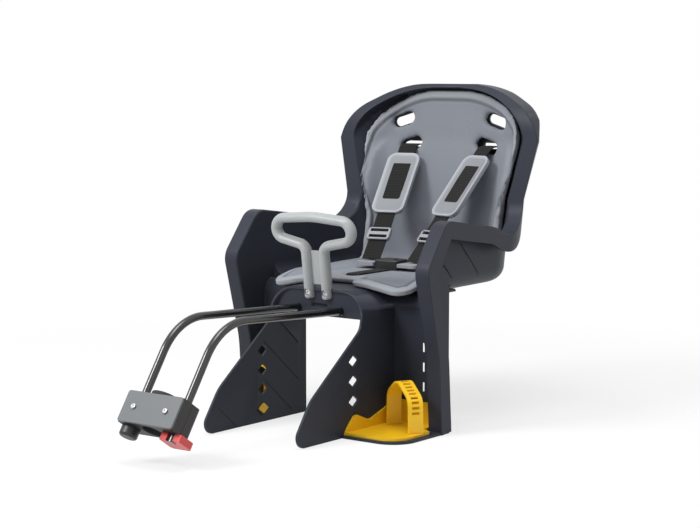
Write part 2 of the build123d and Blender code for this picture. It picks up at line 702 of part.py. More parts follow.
def make_adjuster(side):
    block = rounded_block(ADJUSTER_WIDE, ADJUSTER_LONG, ADJUSTER_THICK, ADJUSTER_CORNER)
    rims = [edge for edge in block.edges() if abs(abs(edge.center().Z) - ADJUSTER_THICK / 2) < 0.01]
    block = block.fillet(ADJUSTER_ROUND, rims)
    for y in (-ADJUSTER_LONG / 4, ADJUSTER_LONG / 4):
        block = block - Pos(0, y, 0) * rounded_block(STRAP_WIDE, ADJUSTER_LONG / 4, ADJUSTER_THICK * 2, 1)
    return on_strap(side, ADJUSTER_AT) * (block - strap_passage(ADJUSTER_LONG * 2))


def make_strap_stop(side):
    # ladder stop flat against the rear of the back
    normal = (0, math.cos(math.radians(LEAN)), -math.sin(math.radians(LEAN)))
    y = back_y(LOWER_SLOT_Z) + (WALL + REST_GAP + TRAY / 2) / math.cos(math.radians(LEAN))
    plane = strap_frame(side)[0]
    tail = plane.from_local_coords((strap_head_y - y, 0, 0))
    frame = Plane(origin=(tail.X, y, LOWER_SLOT_Z), x_dir=(1, 0, 0), z_dir=normal)
    block = rounded_block(STRAP_WIDE + SLOT_ROOM * 4, ADJUSTER_LONG + 4, TRAY, 4)
    block = block - rounded_block(STRAP_WIDE + SLOT_ROOM, STRAP_THICK * 5, TRAY * 2, 1)
    return frame.location * block


def make_buckle():
    body = rounded_block(BUCKLE_WIDE, BUCKLE_LONG, BUCKLE_TALL, BUCKLE_CORNER)
    body = Pos(0, BUCKLE_Y, buckle_low + BUCKLE_TALL / 2) * body
    rims = [edge for edge in body.edges() if abs(edge.center().Z - buckle_low - BUCKLE_TALL) < 0.01]
    body = body.fillet(BUCKLE_ROUND, rims)
    floor = buckle_low + TRAY / 2
    wide = BUTTON_WIDE / 2 + SLIDE_GAP
    long = BUTTON_LONG / 2 + SLIDE_GAP
    pocket = box(-wide, wide, BUCKLE_Y - long, BUCKLE_Y + long, floor, buckle_low + BUCKLE_TALL + 1)
    mouth = box(-BUCKLE_WIDE, BUCKLE_WIDE, BUCKLE_Y - TONGUE_BLADE_HALF, BUCKLE_Y + TONGUE_BLADE_HALF,
                tongue_low - FIT_GAP, tongue_low + TONGUE_THICK + FIT_GAP)
    inner = BUTTON_WIDE / 2 + BUTTON_WALL
    mouth = mouth - box(-inner, inner, 0, SHELL_SPAN, 0, SHELL_SPAN)
    return body - pocket - mouth


def make_button():
    top = buckle_low + BUCKLE_TALL + BUTTON_PROUD
    low = buckle_low + TRAY / 2 + BUTTON_STROKE + SPRING_RISE + SPRING_GAUGE
    wide, long = BUTTON_WIDE / 2, BUTTON_LONG / 2
    cap = box(-wide, wide, BUCKLE_Y - long, BUCKLE_Y + long, low, top)
    rims = [edge for edge in cap.edges() if abs(edge.center().Z - top) < 0.01]
    return cap.fillet(BUTTON_ROUND, rims)


def make_button_spring():
    # bent leaf under the button
    low = buckle_low + TRAY / 2
    half = BUTTON_WIDE / 2 - 1
    leaf = BUTTON_LONG / 3
    points, radii = strip([(-half, low), (-2, low), (half - 3, low + SPRING_RISE)], [0, 2, 0], SPRING_GAUGE)
    return front_prism(points, radii, BUCKLE_Y - leaf, BUCKLE_Y + leaf)


def make_tongue(side):
    inner = BUTTON_WIDE / 2 + BUTTON_WALL + REST_GAP
    root = BUCKLE_WIDE / 2
    blade_half = TONGUE_BLADE_HALF - FIT_GAP
    blade = box(inner, root + 1, BUCKLE_Y - blade_half, BUCKLE_Y + blade_half,
                tongue_low, tongue_low + TONGUE_THICK)
    half = TONGUE_WIDE / 2
    plate = plan_prism([(root + REST_GAP, BUCKLE_Y - half), (TONGUE_REACH, BUCKLE_Y - half),
                        (TONGUE_REACH, BUCKLE_Y + half), (root + REST_GAP, BUCKLE_Y + half)],
                       [2, TONGUE_CORNER, TONGUE_CORNER, 2], tongue_low, tongue_low + TONGUE_THICK)
    eye_y = BUCKLE_Y + half - TONGUE_EYE * 2
    eye_in, eye_out = root + TONGUE_EYE, TONGUE_REACH - TONGUE_EYE
    eye = plan_prism([(eye_in, eye_y), (eye_out, eye_y), (eye_out, eye_y + TONGUE_EYE),
                      (eye_in, eye_y + TONGUE_EYE)], 2, 0, SHELL_SPAN)
    tongue = blade + plate - eye
    return tongue if side > 0 else mirror(tongue, about=Plane.YZ)


def make_crotch_strap():
    high = pad_top + REST_GAP
    end_y = BUCKLE_Y - BUCKLE_LONG / 2 - REST_GAP
    points, radii = strip([(end_y, high), (CROTCH_Y, high), (CROTCH_Y, PAN_Z - WALL - CROTCH_TAIL)],
                          [0, STRAP_THICK * 2, 0], -STRAP_THICK)
    return side_prism(points, radii, -CROTCH_WIDE / 2, CROTCH_WIDE / 2)


def make_crotch_stop():
    high = PAN_Z - WALL - REST_GAP
    block = rounded_block(CROTCH_WIDE + 18, ADJUSTER_LONG, TRAY, 4)
    block = block - Pos(0, 1, 0) * rounded_block(CROTCH_WIDE + 2, STRAP_THICK * 3, TRAY * 2, 1)
    return Pos(0, CROTCH_Y, high - TRAY / 2) * block


# Grab handle

def make_handle():
    # one tube swept from leg to leg round the loop, with a web between the legs
    side = [(HANDLE_LEG_X, 0), (HANDLE_LEG_X, HANDLE_FORK), HANDLE_LOBE, HANDLE_BROW]
    points = [(x, 0, z) for x, z in side] + [(0, 0, HANDLE_CROWN)]
    points += [(-x, 0, z) for x, z in reversed(side)]
    bends = [0, *HANDLE_BENDS]
    path = Wire(corner_edges(points, bends + bends[-2::-1], False))
    tube = sweep(Pos(HANDLE_LEG_X, 0, 0) * handle_section(0), path=path)
    feet = [edge for edge in tube.edges() if edge.bounding_box().max.Z < FIT_GAP]
    tube = tube.fillet(HANDLE_ROUND, feet)
    tube = tube + box(-HANDLE_LEG_X, HANDLE_LEG_X, 0, HANDLE_WEB, HANDLE_WEB_LOW, HANDLE_WEB_HIGH)
    z = HANDLE_SCREW_RISE
    for x in (-HANDLE_LEG_X, HANDLE_LEG_X):
        tube = tube - rod(SCREW / 2 + FIT_GAP, (x, -HANDLE_DEEP, z), (x, HANDLE_DEEP, z))
        tube = tube - rod(SCREW_HEAD / 2 + SLIDE_GAP, (x, -HANDLE_DEEP, z), (x, handle_screw_seat, z))
    return handle_plane.location * tube


def pan_screw(thread, head, seat, end):
    # screw along +Y, with a socket in its round head
    face = seat - head * HEAD_TALL
    screw = rod(head / 2, (0, face, 0), (0, seat, 0)) + rod(thread / 2, (0, seat - 1, 0), (0, end, 0))
    crown = [edge for edge in screw.edges() if abs(edge.center().Y - face) < 0.01]
    screw = screw.fillet(head * HEAD_CROWN, crown)
    return screw - rod(head * HEAD_SOCKET, (0, face - 1, 0), (0, (face + seat) / 2, 0))


def make_handle_screws():
    screws = []
    for x in (-HANDLE_LEG_X, HANDLE_LEG_X):
        screw = pan_screw(SCREW, SCREW_HEAD, handle_screw_seat, handle_screw_end)
        screws.append(handle_plane.location * Pos(x, 0, HANDLE_SCREW_RISE) * screw)
    return Part() + screws


# Carrier bar

def bar_bend_point():
    tilt = math.radians(CLAMP_TILT)
    slope = math.tan(math.radians(BAR_SLOPE))
    rise = BAR_PANEL_Z - CLAMP_Z + (PANEL_Y - CLAMP_Y) * slope
    along = rise / (math.cos(tilt) + math.sin(tilt) * slope)
    return CLAMP_Y + along * math.sin(tilt), CLAMP_Z + along * math.cos(tilt)


def make_bar():
    low = -(CLAMP_TALL / 2 + BAR_STUB)
    foot = clamp_plane.from_local_coords((BAR_HALF, 0, low))
    bend_y, bend_z = bar_bend_point()
    tail = bar_plane.from_local_coords((BAR_HALF, BAR_TAIL_Y - CRADLE_Y, 0))
    arm = corner_edges([tuple(foot), (BAR_HALF, bend_y, bend_z), tuple(tail)], [0, BAR_BEND, 0], False)
    crown = bar_plane.from_local_coords((0, BAR_TAIL_Y - CRADLE_Y + BAR_HALF, 0))
    turn = Edge.make_three_point_arc(tail, crown, Vector(-tail.X, tail.Y, tail.Z))
    other = corner_edges([(-tail.X, tail.Y, tail.Z), (-BAR_HALF, bend_y, bend_z),
                          (-foot.X, foot.Y, foot.Z)], [0, BAR_BEND, 0], False)
    path = Wire(arm + [turn] + other)
    section = Plane(origin=foot, z_dir=clamp_plane.z_dir) * Circle(BAR / 2)
    return sweep(section, path=path)


def make_bar_clamp_plate():
    reach = BAR / 2 + FIT_GAP
    flat = PLATE_GAUGE / 2 - REST_GAP
    profile = [(-CRADLE_HALF, flat), (-BAR_HALF - reach - 4, flat), (-BAR_HALF - reach, -reach),
               (-BAR_HALF + reach, -reach), (-BAR_HALF + reach + 4, flat)]
    profile += [(-x, z) for x, z in reversed(profile)]
    points, radii = strip(profile, [0] + [1] * 8 + [0], -PLATE_GAUGE)
    half = CRADLE_LONG / 2 - CRADLE_RIB
    plate = prism([(x, -half, z) for x, z in points], radii, (0, half * 2, 0))
    for y in (-BOLT_STEP / 2, BOLT_STEP / 2):
        plate = plate - rod(BOLT / 2 + FIT_GAP, (0, y, -20), (0, y, 20))
    return bar_plane.location * plate


def hexagon_rod(flats, start, end):
    corner = flats / math.sqrt(3)
    angles = [math.radians(60 * k) for k in range(6)]
    points = [(corner * math.cos(angle), corner * math.sin(angle)) for angle in angles]
    return plan_prism(points, 0, start, end)


def make_bar_clamp_bolts():
    top = PAN_Z - bar_z(CRADLE_Y) - 12
    seat = PLATE_GAUGE / 2 - REST_GAP - PLATE_GAUGE
    bolts = []
    for y in (-BOLT_STEP / 2, BOLT_STEP / 2):
        head = Pos(0, y, 0) * hexagon_rod(10, seat - 5, seat)
        bolts.append(bar_plane.location * (head + rod(BOLT / 2, (0, y, seat - 1), (0, y, top))))
    return Part() + bolts


# Seat tube bracket

def clamp_block(y0, y1, front_corner, rear_corner):
    points = [(-CLAMP_HALF, y0), (CLAMP_HALF, y0), (CLAMP_HALF, y1), (-CLAMP_HALF, y1)]
    block = plan_prism(points, [front_corner, front_corner, rear_corner, rear_corner],
                       -CLAMP_TALL / 2, CLAMP_TALL / 2)
    block = block - rod(TUBE / 2 + LINER + FIT_GAP, (0, 0, -CLAMP_TALL), (0, 0, CLAMP_TALL))
    for x in (-BAR_HALF, BAR_HALF):
        block = block - rod(BAR / 2 + FIT_GAP, (x, 0, -CLAMP_TALL), (x, 0, CLAMP_TALL))
    for x in (-CLAMP_SCREW_X, CLAMP_SCREW_X):
        block = block - rod(BOLT / 2 + FIT_GAP, (x, -CLAMP_FRONT - 1, 0), (x, CLAMP_REAR - 3, 0))
    return block


def make_front_jaw():
    return clamp_plane.location * clamp_block(-CLAMP_FRONT, -CLAMP_SPLIT / 2, 1, 0)


lock_top = -CLAMP_TALL / 2 - REST_GAP
lock_low = lock_top - LOCK_THICK


def lock_rail(grow, y0, y1):
    # T shaped rail under the rear jaw that the lock slides on
    foot = -CLAMP_TALL / 2
    neck = LOCK_RAIL / 2 + grow
    stem = box(LOCK_RAIL_X - neck, LOCK_RAIL_X + neck, y0, y1, foot - LOCK_RAIL - 1, foot + 1)
    half = LOCK_RAIL + grow
    head = box(LOCK_RAIL_X - half, LOCK_RAIL_X + half, y0, y1, foot - LOCK_RAIL * 2 - grow,
               foot - LOCK_RAIL + grow)
    return stem + head


rail_y = BAR / 2 + WALL / 2


def make_rear_jaw():
    jaw = clamp_block(CLAMP_SPLIT / 2, CLAMP_REAR, 0, 9)
    return clamp_plane.location * (jaw + lock_rail(0, rail_y, rail_y + LOCK_RAIL_LONG))


def make_lock():
    gap = BAR / 2 + SLIDE_GAP
    rear = CLAMP_REAR + LOCK_NOSE
    points = [(BAR_HALF - LOCK_HALF, -gap), (BAR_HALF + LOCK_HALF, -gap), (BAR_HALF + LOCK_HALF, rear),
              (BAR_HALF - LOCK_HALF, rear)]
    plate = plan_prism(points, [2, 2, 6, 6], lock_low, lock_top)
    slot = plan_prism([(BAR_HALF - gap, -LOCK_HALF * 2), (BAR_HALF + gap, -LOCK_HALF * 2),
                       (BAR_HALF + gap, gap), (BAR_HALF - gap, gap)],
                      [0, 0, gap - FIT_GAP, gap - FIT_GAP], lock_low - 1, lock_top + 1)
    groove = lock_rail(REST_GAP, rail_y - LOCK_STROKE - REST_GAP, rear + 1)
    return clamp_plane.location * (plate - slot - groove)


def make_liner(side):
    # rubber half ring with a collar on the bracket's top
    rest = CLAMP_TALL / 2 + REST_GAP
    ring = rod(TUBE / 2 + LINER, (0, 0, -CLAMP_TALL / 2), (0, 0, rest + COLLAR))
    ring = ring + rod(TUBE / 2 + LINER * 2.5, (0, 0, rest), (0, 0, rest + COLLAR))
    ring = ring - rod(TUBE / 2 + FIT_GAP / 2, (0, 0, -CLAMP_TALL), (0, 0, CLAMP_TALL))
    half = box(-CLAMP_HALF, CLAMP_HALF, CLAMP_SPLIT / 2, CLAMP_HALF, -CLAMP_TALL, CLAMP_TALL)
    if side < 0:
        half = mirror(half, about=Plane.XZ)
    return clamp_plane.location * (ring & half)


def make_face_plate():
    y0 = -CLAMP_FRONT - FACE_GAUGE
    half = CLAMP_TALL / 2
    plate = front_prism([(-CLAMP_HALF, -half), (CLAMP_HALF, -half), (CLAMP_HALF, half),
                         (-CLAMP_HALF, half)], FACE_CORNER, y0, -CLAMP_FRONT)
    rims = [edge for edge in plate.edges() if abs(edge.center().Y - y0) < 0.01]
    plate = plate.fillet(1, rims)
    for x in (-CLAMP_SCREW_X, CLAMP_SCREW_X):
        plate = plate - rod(BOLT / 2 + FIT_GAP, (x, y0 - 1, 0), (x, 0, 0))
    return clamp_plane.location * plate


def make_plate_screws():
    seat = -CLAMP_FRONT - FACE_GAUGE
    screws = []
    for x in (-CLAMP_SCREW_X, CLAMP_SCREW_X):
        screws.append(clamp_plane.location * Pos(x, 0, 0) * pan_screw(BOLT, PLATE_SCREW_HEAD, seat,
                                                                      CLAMP_REAR - COLLAR))
    return Part() + screws


def make_end_cap():
    low = -(CLAMP_TALL / 2 + BAR_STUB)
    foot = low - END_CAP_FLOOR
    cap = rod(END_CAP / 2, (-BAR_HALF, 0, foot), (-BAR_HALF, 0, -CLAMP_TALL / 2 - REST_GAP))
    rims = [edge for edge in cap.edges() if abs(edge.center().Z - foot) < 0.01]
    cap = cap.fillet(END_CAP_ROUND, rims)
    return clamp_plane.location * (cap - rod(BAR / 2 + FIT_GAP, (-BAR_HALF, 0, low), (-BAR_HALF, 0, 0)))


# Footrests, made for the left side

tray_low = WALL + REST_GAP
tray_in = TUNNEL_HALF + REST_GAP
tray_half = SOLE_HALF - TRAY_INSET
tray_rear_y = GUARD_REAR_Y - WALL - REST_GAP


def make_footrest(side):
    heel_x = side_x(tray_rear_y, -1)
    floor = plan_prism([(tray_in, TRAY_FRONT_Y), (tray_half, TRAY_FRONT_Y),
                        (tray_half, COLUMN_FOOT_Y - TRAY * 5), (heel_x, COLUMN_FOOT_Y - TRAY * 2),
                        (heel_x, tray_rear_y), (tray_in, tray_rear_y)],
                       [TRAY, SOLE_CORNER - TRAY_INSET, TRAY_INSET, TRAY_INSET, 0, 0],
                       tray_low, tray_low + TRAY)
    wall = [(TRAY_FRONT_Y, tray_low), (tray_rear_y, tray_low), (tray_rear_y, TRAY_WALL_Z),
            (tray_rear_y - HEEL_STEP, TRAY_WALL_Z - HEEL_DROP),
            (DIAMOND_Y + WAVE_LONG, TRAY_WALL_Z - WAVE_LOW), (DIAMOND_Y, TRAY_WALL_Z - WAVE_HIGH),
            (TRAY_FRONT_Y + TRAY, tray_low + TRAY * 2)]
    inner_wall = side_prism(wall, TRAY_WALL_BENDS, tray_in, tray_in + TRAY)
    heel = front_prism([(tray_in, tray_low), (heel_x, tray_low), (heel_x, TRAY_WALL_Z),
                        (tray_in, TRAY_WALL_Z)], [0, 0, HEEL_CORNER, 0], tray_rear_y - TRAY, tray_rear_y)
    tab_z = DIAMOND_TOP_Z - (DIAMOND_COUNT - 1) * DIAMOND_PITCH
    tall, long = DIAMOND_TALL / 2 - TAB_ROOM, DIAMOND_LONG / 2 - TAB_ROOM
    tab = side_prism([(DIAMOND_Y - long, tab_z), (DIAMOND_Y, tab_z + tall), (DIAMOND_Y + long, tab_z),
                      (DIAMOND_Y, tab_z - tall)], 1, fin_inner - 2, tray_in + TRAY)
    tray = floor + inner_wall + heel + tab
    return tray if side > 0 else mirror(tray, about=Plane.YZ)


def make_foot_strap(side):
    # band over the instep, from the inner heel to the outer toe, with a ladder of holes
    start = Vector(tray_in + TRAY * 1.5 + FOOT_STRAP_WIDE / 2, tray_rear_y - TRAY - FOOT_STRAP_WIDE,
                   tray_low + TRAY + REST_GAP)
    end = Vector(tray_half - FOOT_STRAP_INSET, FOOT_STRAP_TOE_Y, start.Z)
    run = end - start
    frame = Plane(origin=start, x_dir=run, z_dir=run.cross(Vector(0, 0, 1)))
    reach = run.length
    arch = [(0, 0), (2, FOOT_STRAP_SHOULDER), (reach * FOOT_STRAP_CROWN, FOOT_STRAP_TALL),
            (reach - 2, FOOT_STRAP_SHOULDER), (reach, 0)]
    points, radii = strip(arch, [0] + [FOOT_STRAP_BEND] * 3 + [0], -FOOT_STRAP_THICK)
    band = flat_prism(points, radii, FOOT_STRAP_WIDE / 2)
    rungs = []
    half, deep, wide = RUNG / 2, FOOT_STRAP_THICK * 4, FOOT_STRAP_WIDE / 4
    for first, last, count in ((arch[2], arch[3], RUNGS_SLOPE), (arch[3], arch[4], RUNGS_FALL)):
        step = (Vector(*last) - Vector(*first)).normalized()
        for index in range(count):
            spot = Vector(*first) + step * (RUNG_PITCH * (index + 0.75))
            place = Plane(origin=spot, x_dir=step, z_dir=(0, 0, 1)).location
            rungs.append(place * box(-half, half, -deep, deep, -wide, wide))
    band = frame.location * (band - Compound(children=rungs))
    return band if side > 0 else mirror(band, about=Plane.YZ)


pieces = {
    "seat_shell": finish_shell(make_shell()),
    "seat_pad": make_pad(),
    "grab_handle": make_handle(),
    "handle_screws": make_handle_screws(),
    "carrier_bar": make_bar(),
    "bar_clamp_plate": make_bar_clamp_plate(),
    "bar_clamp_bolts": make_bar_clamp_bolts(),
    "clamp_front_jaw": make_front_jaw(),
    "clamp_rear_jaw": make_rear_jaw(),
    "tube_liner_front": make_liner(-1),
    "tube_liner_rear": make_liner(1),
    "face_plate": make_face_plate(),
    "plate_screws": make_plate_screws(),
    "lock_slider": make_lock(),
    "arm_end_cap": make_end_cap(),
    "crotch_strap": make_crotch_strap(),
    "crotch_stop": make_crotch_stop(),
    "buckle_body": make_buckle(),
    "buckle_button": make_button(),
    "button_spring": make_button_spring(),
}
for name, side in (("left", 1), ("right", -1)):
    pieces[f"shoulder_strap_{name}"] = make_strap(side)
    pieces[f"shoulder_pad_{name}"] = make_shoulder_pad(side)
    pieces[f"strap_adjuster_{name}"] = make_adjuster(side)
    pieces[f"strap_stop_{name}"] = make_strap_stop(side)
    pieces[f"tongue_{name}"] = make_tongue(side)
    pieces[f"footrest_{name}"] = make_footrest(side)
    pieces[f"foot_strap_{name}"] = make_foot_strap(side)

os.makedirs("parts", exist_ok=True)
for node, solid in pieces.items():
    export_step(solid, f"parts/{node}.step")
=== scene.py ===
import bpy
import json
import math
from mathutils import Matrix, Vector, kdtree

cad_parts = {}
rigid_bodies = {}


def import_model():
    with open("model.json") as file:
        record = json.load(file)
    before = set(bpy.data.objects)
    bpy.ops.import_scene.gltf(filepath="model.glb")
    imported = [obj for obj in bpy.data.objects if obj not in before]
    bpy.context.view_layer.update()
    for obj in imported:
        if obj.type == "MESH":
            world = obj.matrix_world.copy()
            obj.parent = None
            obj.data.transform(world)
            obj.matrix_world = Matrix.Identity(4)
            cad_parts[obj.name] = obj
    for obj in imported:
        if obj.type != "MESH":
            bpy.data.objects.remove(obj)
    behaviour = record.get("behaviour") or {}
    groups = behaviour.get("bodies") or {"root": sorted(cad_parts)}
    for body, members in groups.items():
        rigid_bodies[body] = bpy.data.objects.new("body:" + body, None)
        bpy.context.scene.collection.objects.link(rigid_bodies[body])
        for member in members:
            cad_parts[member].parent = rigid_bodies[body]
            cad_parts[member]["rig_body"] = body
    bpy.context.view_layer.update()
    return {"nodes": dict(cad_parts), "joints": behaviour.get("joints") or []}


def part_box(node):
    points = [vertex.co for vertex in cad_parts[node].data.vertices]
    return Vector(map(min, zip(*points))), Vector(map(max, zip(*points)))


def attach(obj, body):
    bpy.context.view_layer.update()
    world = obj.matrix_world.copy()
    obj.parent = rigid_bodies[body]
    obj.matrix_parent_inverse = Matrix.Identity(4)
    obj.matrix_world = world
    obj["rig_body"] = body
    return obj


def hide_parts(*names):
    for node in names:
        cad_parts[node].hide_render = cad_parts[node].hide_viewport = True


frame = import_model()
nodes = frame["nodes"]
scene = bpy.context.scene
print("frame loaded with", len(nodes), "solids")

mm = 0.001
mergeGap = 0.004 * mm
flatWeight = 60  # how much large faces lead the shading


# small hand tools

def deselectAll():
    if bpy.context.object and bpy.context.object.mode != "OBJECT":
        bpy.ops.object.mode_set(mode="OBJECT")
    bpy.ops.object.select_all(action="DESELECT")


def pick(obj):
    deselectAll()
    obj.select_set(True)
    bpy.context.view_layer.objects.active = obj


def applyModifier(obj, kind, **settings):
    pick(obj)
    modifier = obj.modifiers.new(kind.lower(), kind)
    for key, value in settings.items():
        setattr(modifier, key, value)
    bpy.ops.object.modifier_apply(modifier=modifier.name)


def startSelecting(obj, kind):
    # nothing selected, in object mode, so that code can select faces or edges
    pick(obj)
    bpy.ops.object.mode_set(mode="EDIT")
    bpy.ops.mesh.select_mode(type=kind)
    bpy.ops.mesh.select_all(action="DESELECT")
    bpy.ops.object.mode_set(mode="OBJECT")


def selectFaces(obj, test):
    startSelecting(obj, "FACE")
    for face in obj.data.polygons:
        face.select = test(face)
    bpy.ops.object.mode_set(mode="EDIT")


def selectEdges(obj, test):
    startSelecting(obj, "EDGE")
    points = obj.data.vertices
    for edge in obj.data.edges:
        edge.select = test(points[edge.vertices[0]].co, points[edge.vertices[1]].co)
    bpy.ops.object.mode_set(mode="EDIT")


def smoothByAngle(obj, angle):
    pick(obj)
    bpy.ops.object.shade_smooth_by_angle(angle=math.radians(angle))


def evenNormals(obj, angle):
    # smooth shading whose large flat faces stay flat beside small rounded edges
    smoothByAngle(obj, angle)
    applyModifier(obj, "WEIGHTED_NORMAL", keep_sharp=True, weight=flatWeight)


def bevelSharp(obj, width, segments, angle):
    applyModifier(obj, "BEVEL", width=width, segments=segments, limit_method="ANGLE",
                  angle_limit=math.radians(angle))


def faceNeighbours(obj):
    facesOf = {}
    for face in obj.data.polygons:
        for key in face.edge_keys:
            facesOf.setdefault(key, []).append(face)
    return facesOf


def copySolid(name, label, flatAngle=0.05):
    # merged copy of a CAD solid, with the triangles of flat faces joined unless the angle is 0
    copy = bpy.data.objects.new(label, nodes[name].data.copy())
    scene.collection.objects.link(copy)
    pick(copy)
    bpy.ops.object.mode_set(mode="EDIT")
    bpy.ops.mesh.select_all(action="SELECT")
    bpy.ops.mesh.remove_doubles(threshold=mergeGap)
    if flatAngle:
        bpy.ops.mesh.dissolve_limited(angle_limit=math.radians(flatAngle))
    bpy.ops.object.mode_set(mode="OBJECT")
    return copy


def settle(obj, body, slot, material, *stands):
    # hands a finished piece to its body and hides the solids it stands for
    obj.data.materials.clear()
    obj.data.materials.append(material)
    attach(obj, body)
    if stands:
        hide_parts(*stands)


def smoothStep(value, low, high):
    t = min(max((value - low) / (high - low), 0.0), 1.0)
    return t * t * (3 - 2 * t)


# node tools

def feed(tree, node, values):
    # links sockets and sets plain values
    for socket, source in values:
        target = node.inputs[socket]
        if isinstance(source, bpy.types.NodeSocket):
            tree.links.new(source, target)
        else:
            target.default_value = source


def addNode(tree, kind, values=(), **settings):
    node = tree.nodes.new(kind)
    for key, value in settings.items():
        setattr(node, key, value)
    feed(tree, node, values)
    return node


def calc(tree, operation, first, second=0.0):
    return addNode(tree, "ShaderNodeMath", [(0, first), (1, second)], operation=operation).outputs[0]


def mapTone(tree, value, low, high, fromLow=0.0, fromHigh=1.0):
    return addNode(tree, "ShaderNodeMapRange", [
        ("Value", value), ("From Min", fromLow), ("From Max", fromHigh),
        ("To Min", low), ("To Max", high)]).outputs["Result"]


def noise(tree, place, scale, detail):
    return addNode(tree, "ShaderNodeTexNoise",
                   [("Vector", place), ("Scale", scale), ("Detail", detail)]).outputs["Fac"]


def bumpNormal(tree, height, distance, strength):
    return addNode(tree, "ShaderNodeBump", [("Height", height), ("Distance", distance),
                                            ("Strength", strength)]).outputs["Normal"]


def mixColours(tree, share, first, second, blend="MIX"):
    # inputs 6 and 7 of a colour mix are its two colours
    return addNode(tree, "ShaderNodeMix", [(0, share), (6, first), (7, second)],
                   data_type="RGBA", blend_type=blend).outputs[2]


def multiplyColours(tree, first, second):
    return mixColours(tree, 1.0, first, second, "MULTIPLY")


def pieceMask(tree, name):
    # a mask that the piece carries on its own points
    return addNode(tree, "ShaderNodeAttribute", attribute_name=name).outputs["Fac"]


def opaque(colour):
    return (*colour, 1.0)


def newGroup(name, inputs, outputs):
    group = bpy.data.node_groups.new(name, "ShaderNodeTree")
    for label, value in inputs.items():
        socket = group.interface.new_socket(name=label, in_out="INPUT", socket_type="NodeSocketFloat")
        socket.default_value = value
    for label, kind in outputs.items():
        group.interface.new_socket(name=label, in_out="OUTPUT", socket_type=kind)
    return group, group.nodes.new("NodeGroupInput").outputs, group.nodes.new("NodeGroupOutput")


# shared effects
grainShape = {"detail": 3.0, "cloudScale": 14.0, "cloudDetail": 4.0, "speckTones": (0.94, 1.06),
              "bump": 0.3 * mm}
weaveShape = {"alongShift": 0.25, "fleckScale": 220.0, "fleckDetail": 2.0, "heights": (-1.5, 2.5),
              "tones": (0.55, 1.7), "bump": 0.25 * mm}
foamShape = {"fibreScale": 1500.0, "fibreDetail": 2.0, "fibreTones": (0.88, 1.12), "cloudScale": 9.0,
             "cloudDetail": 3.0, "cloudTones": (0.93, 1.07), "bump": 0.35 * mm}


def makeMouldGrain():
    # fine spark-erosion grain with slow changes of tone and shine
    group, given, end = newGroup(
        "mouldGrain",
        {"Grain Scale": 900.0, "Grain Depth": 0.2, "Tone Low": 0.9, "Tone High": 1.1,
         "Rough Low": 0.4, "Rough High": 0.5},
        {"Tone": "NodeSocketColor", "Roughness": "NodeSocketFloat", "Normal": "NodeSocketVector"})
    place = addNode(group, "ShaderNodeTexCoord").outputs["Object"]
    grain = noise(group, place, given["Grain Scale"], grainShape["detail"])
    cloud = noise(group, place, grainShape["cloudScale"], grainShape["cloudDetail"])
    tone = mapTone(group, cloud, given["Tone Low"], given["Tone High"])
    speck = mapTone(group, grain, *grainShape["speckTones"])
    feed(group, end, [
        ("Tone", calc(group, "MULTIPLY", tone, speck)),
        ("Roughness", mapTone(group, cloud, given["Rough Low"], given["Rough High"])),
        ("Normal", bumpNormal(group, grain, grainShape["bump"], given["Grain Depth"]))])
    return group


def makeWebWeave():
    # ribbed webbing: threads across the strap and a bright fleck, from the strap's own UV map
    group, given, end = newGroup("webWeave", {"Across": 16.0, "Along": 90.0, "Depth": 0.6},
                                 {"Tone": "NodeSocketColor", "Normal": "NodeSocketVector"})
    place = addNode(group, "ShaderNodeUVMap").outputs["UV"]
    parts = addNode(group, "ShaderNodeSeparateXYZ", [("Vector", place)]).outputs

    def wave(coordinate, count, shift):
        turns = calc(group, "ADD", calc(group, "MULTIPLY", coordinate, count), shift)
        return calc(group, "SINE", calc(group, "MULTIPLY", turns, math.tau))

    across = wave(parts["X"], given["Across"], 0.0)
    along = wave(parts["Y"], given["Along"], weaveShape["alongShift"])
    threads = calc(group, "ADD", calc(group, "MULTIPLY", across, along), along)
    fleck = noise(group, place, weaveShape["fleckScale"], weaveShape["fleckDetail"])
    height = calc(group, "ADD", threads, fleck)
    feed(group, end, [
        ("Tone", mapTone(group, height, *weaveShape["tones"], *weaveShape["heights"])),
        ("Normal", bumpNormal(group, height, weaveShape["bump"], given["Depth"]))])
    return group


def makeFoamSkin():
    # knitted cover over foam: small pebbles with finer fibres between them
    group, given, end = newGroup("foamSkin", {"Pebble Scale": 420.0, "Depth": 0.35},
                                 {"Tone": "NodeSocketColor", "Normal": "NodeSocketVector"})
    place = addNode(group, "ShaderNodeTexCoord").outputs["Object"]
    pebble = addNode(group, "ShaderNodeTexVoronoi",
                     [("Vector", place), ("Scale", given["Pebble Scale"])]).outputs["Distance"]
    fibre = noise(group, place, foamShape["fibreScale"], foamShape["fibreDetail"])
    cloud = noise(group, place, foamShape["cloudScale"], foamShape["cloudDetail"])
    height = calc(group, "ADD", pebble, fibre)
    tone = calc(group, "MULTIPLY", mapTone(group, fibre, *foamShape["fibreTones"]),
                mapTone(group, cloud, *foamShape["cloudTones"]))
    feed(group, end, [
        ("Tone", tone),
        ("Normal", bumpNormal(group, height, foamShape["bump"], given["Depth"]))])
    return group


mouldGrain = makeMouldGrain()
webWeave = makeWebWeave()
foamSkin = makeFoamSkin()


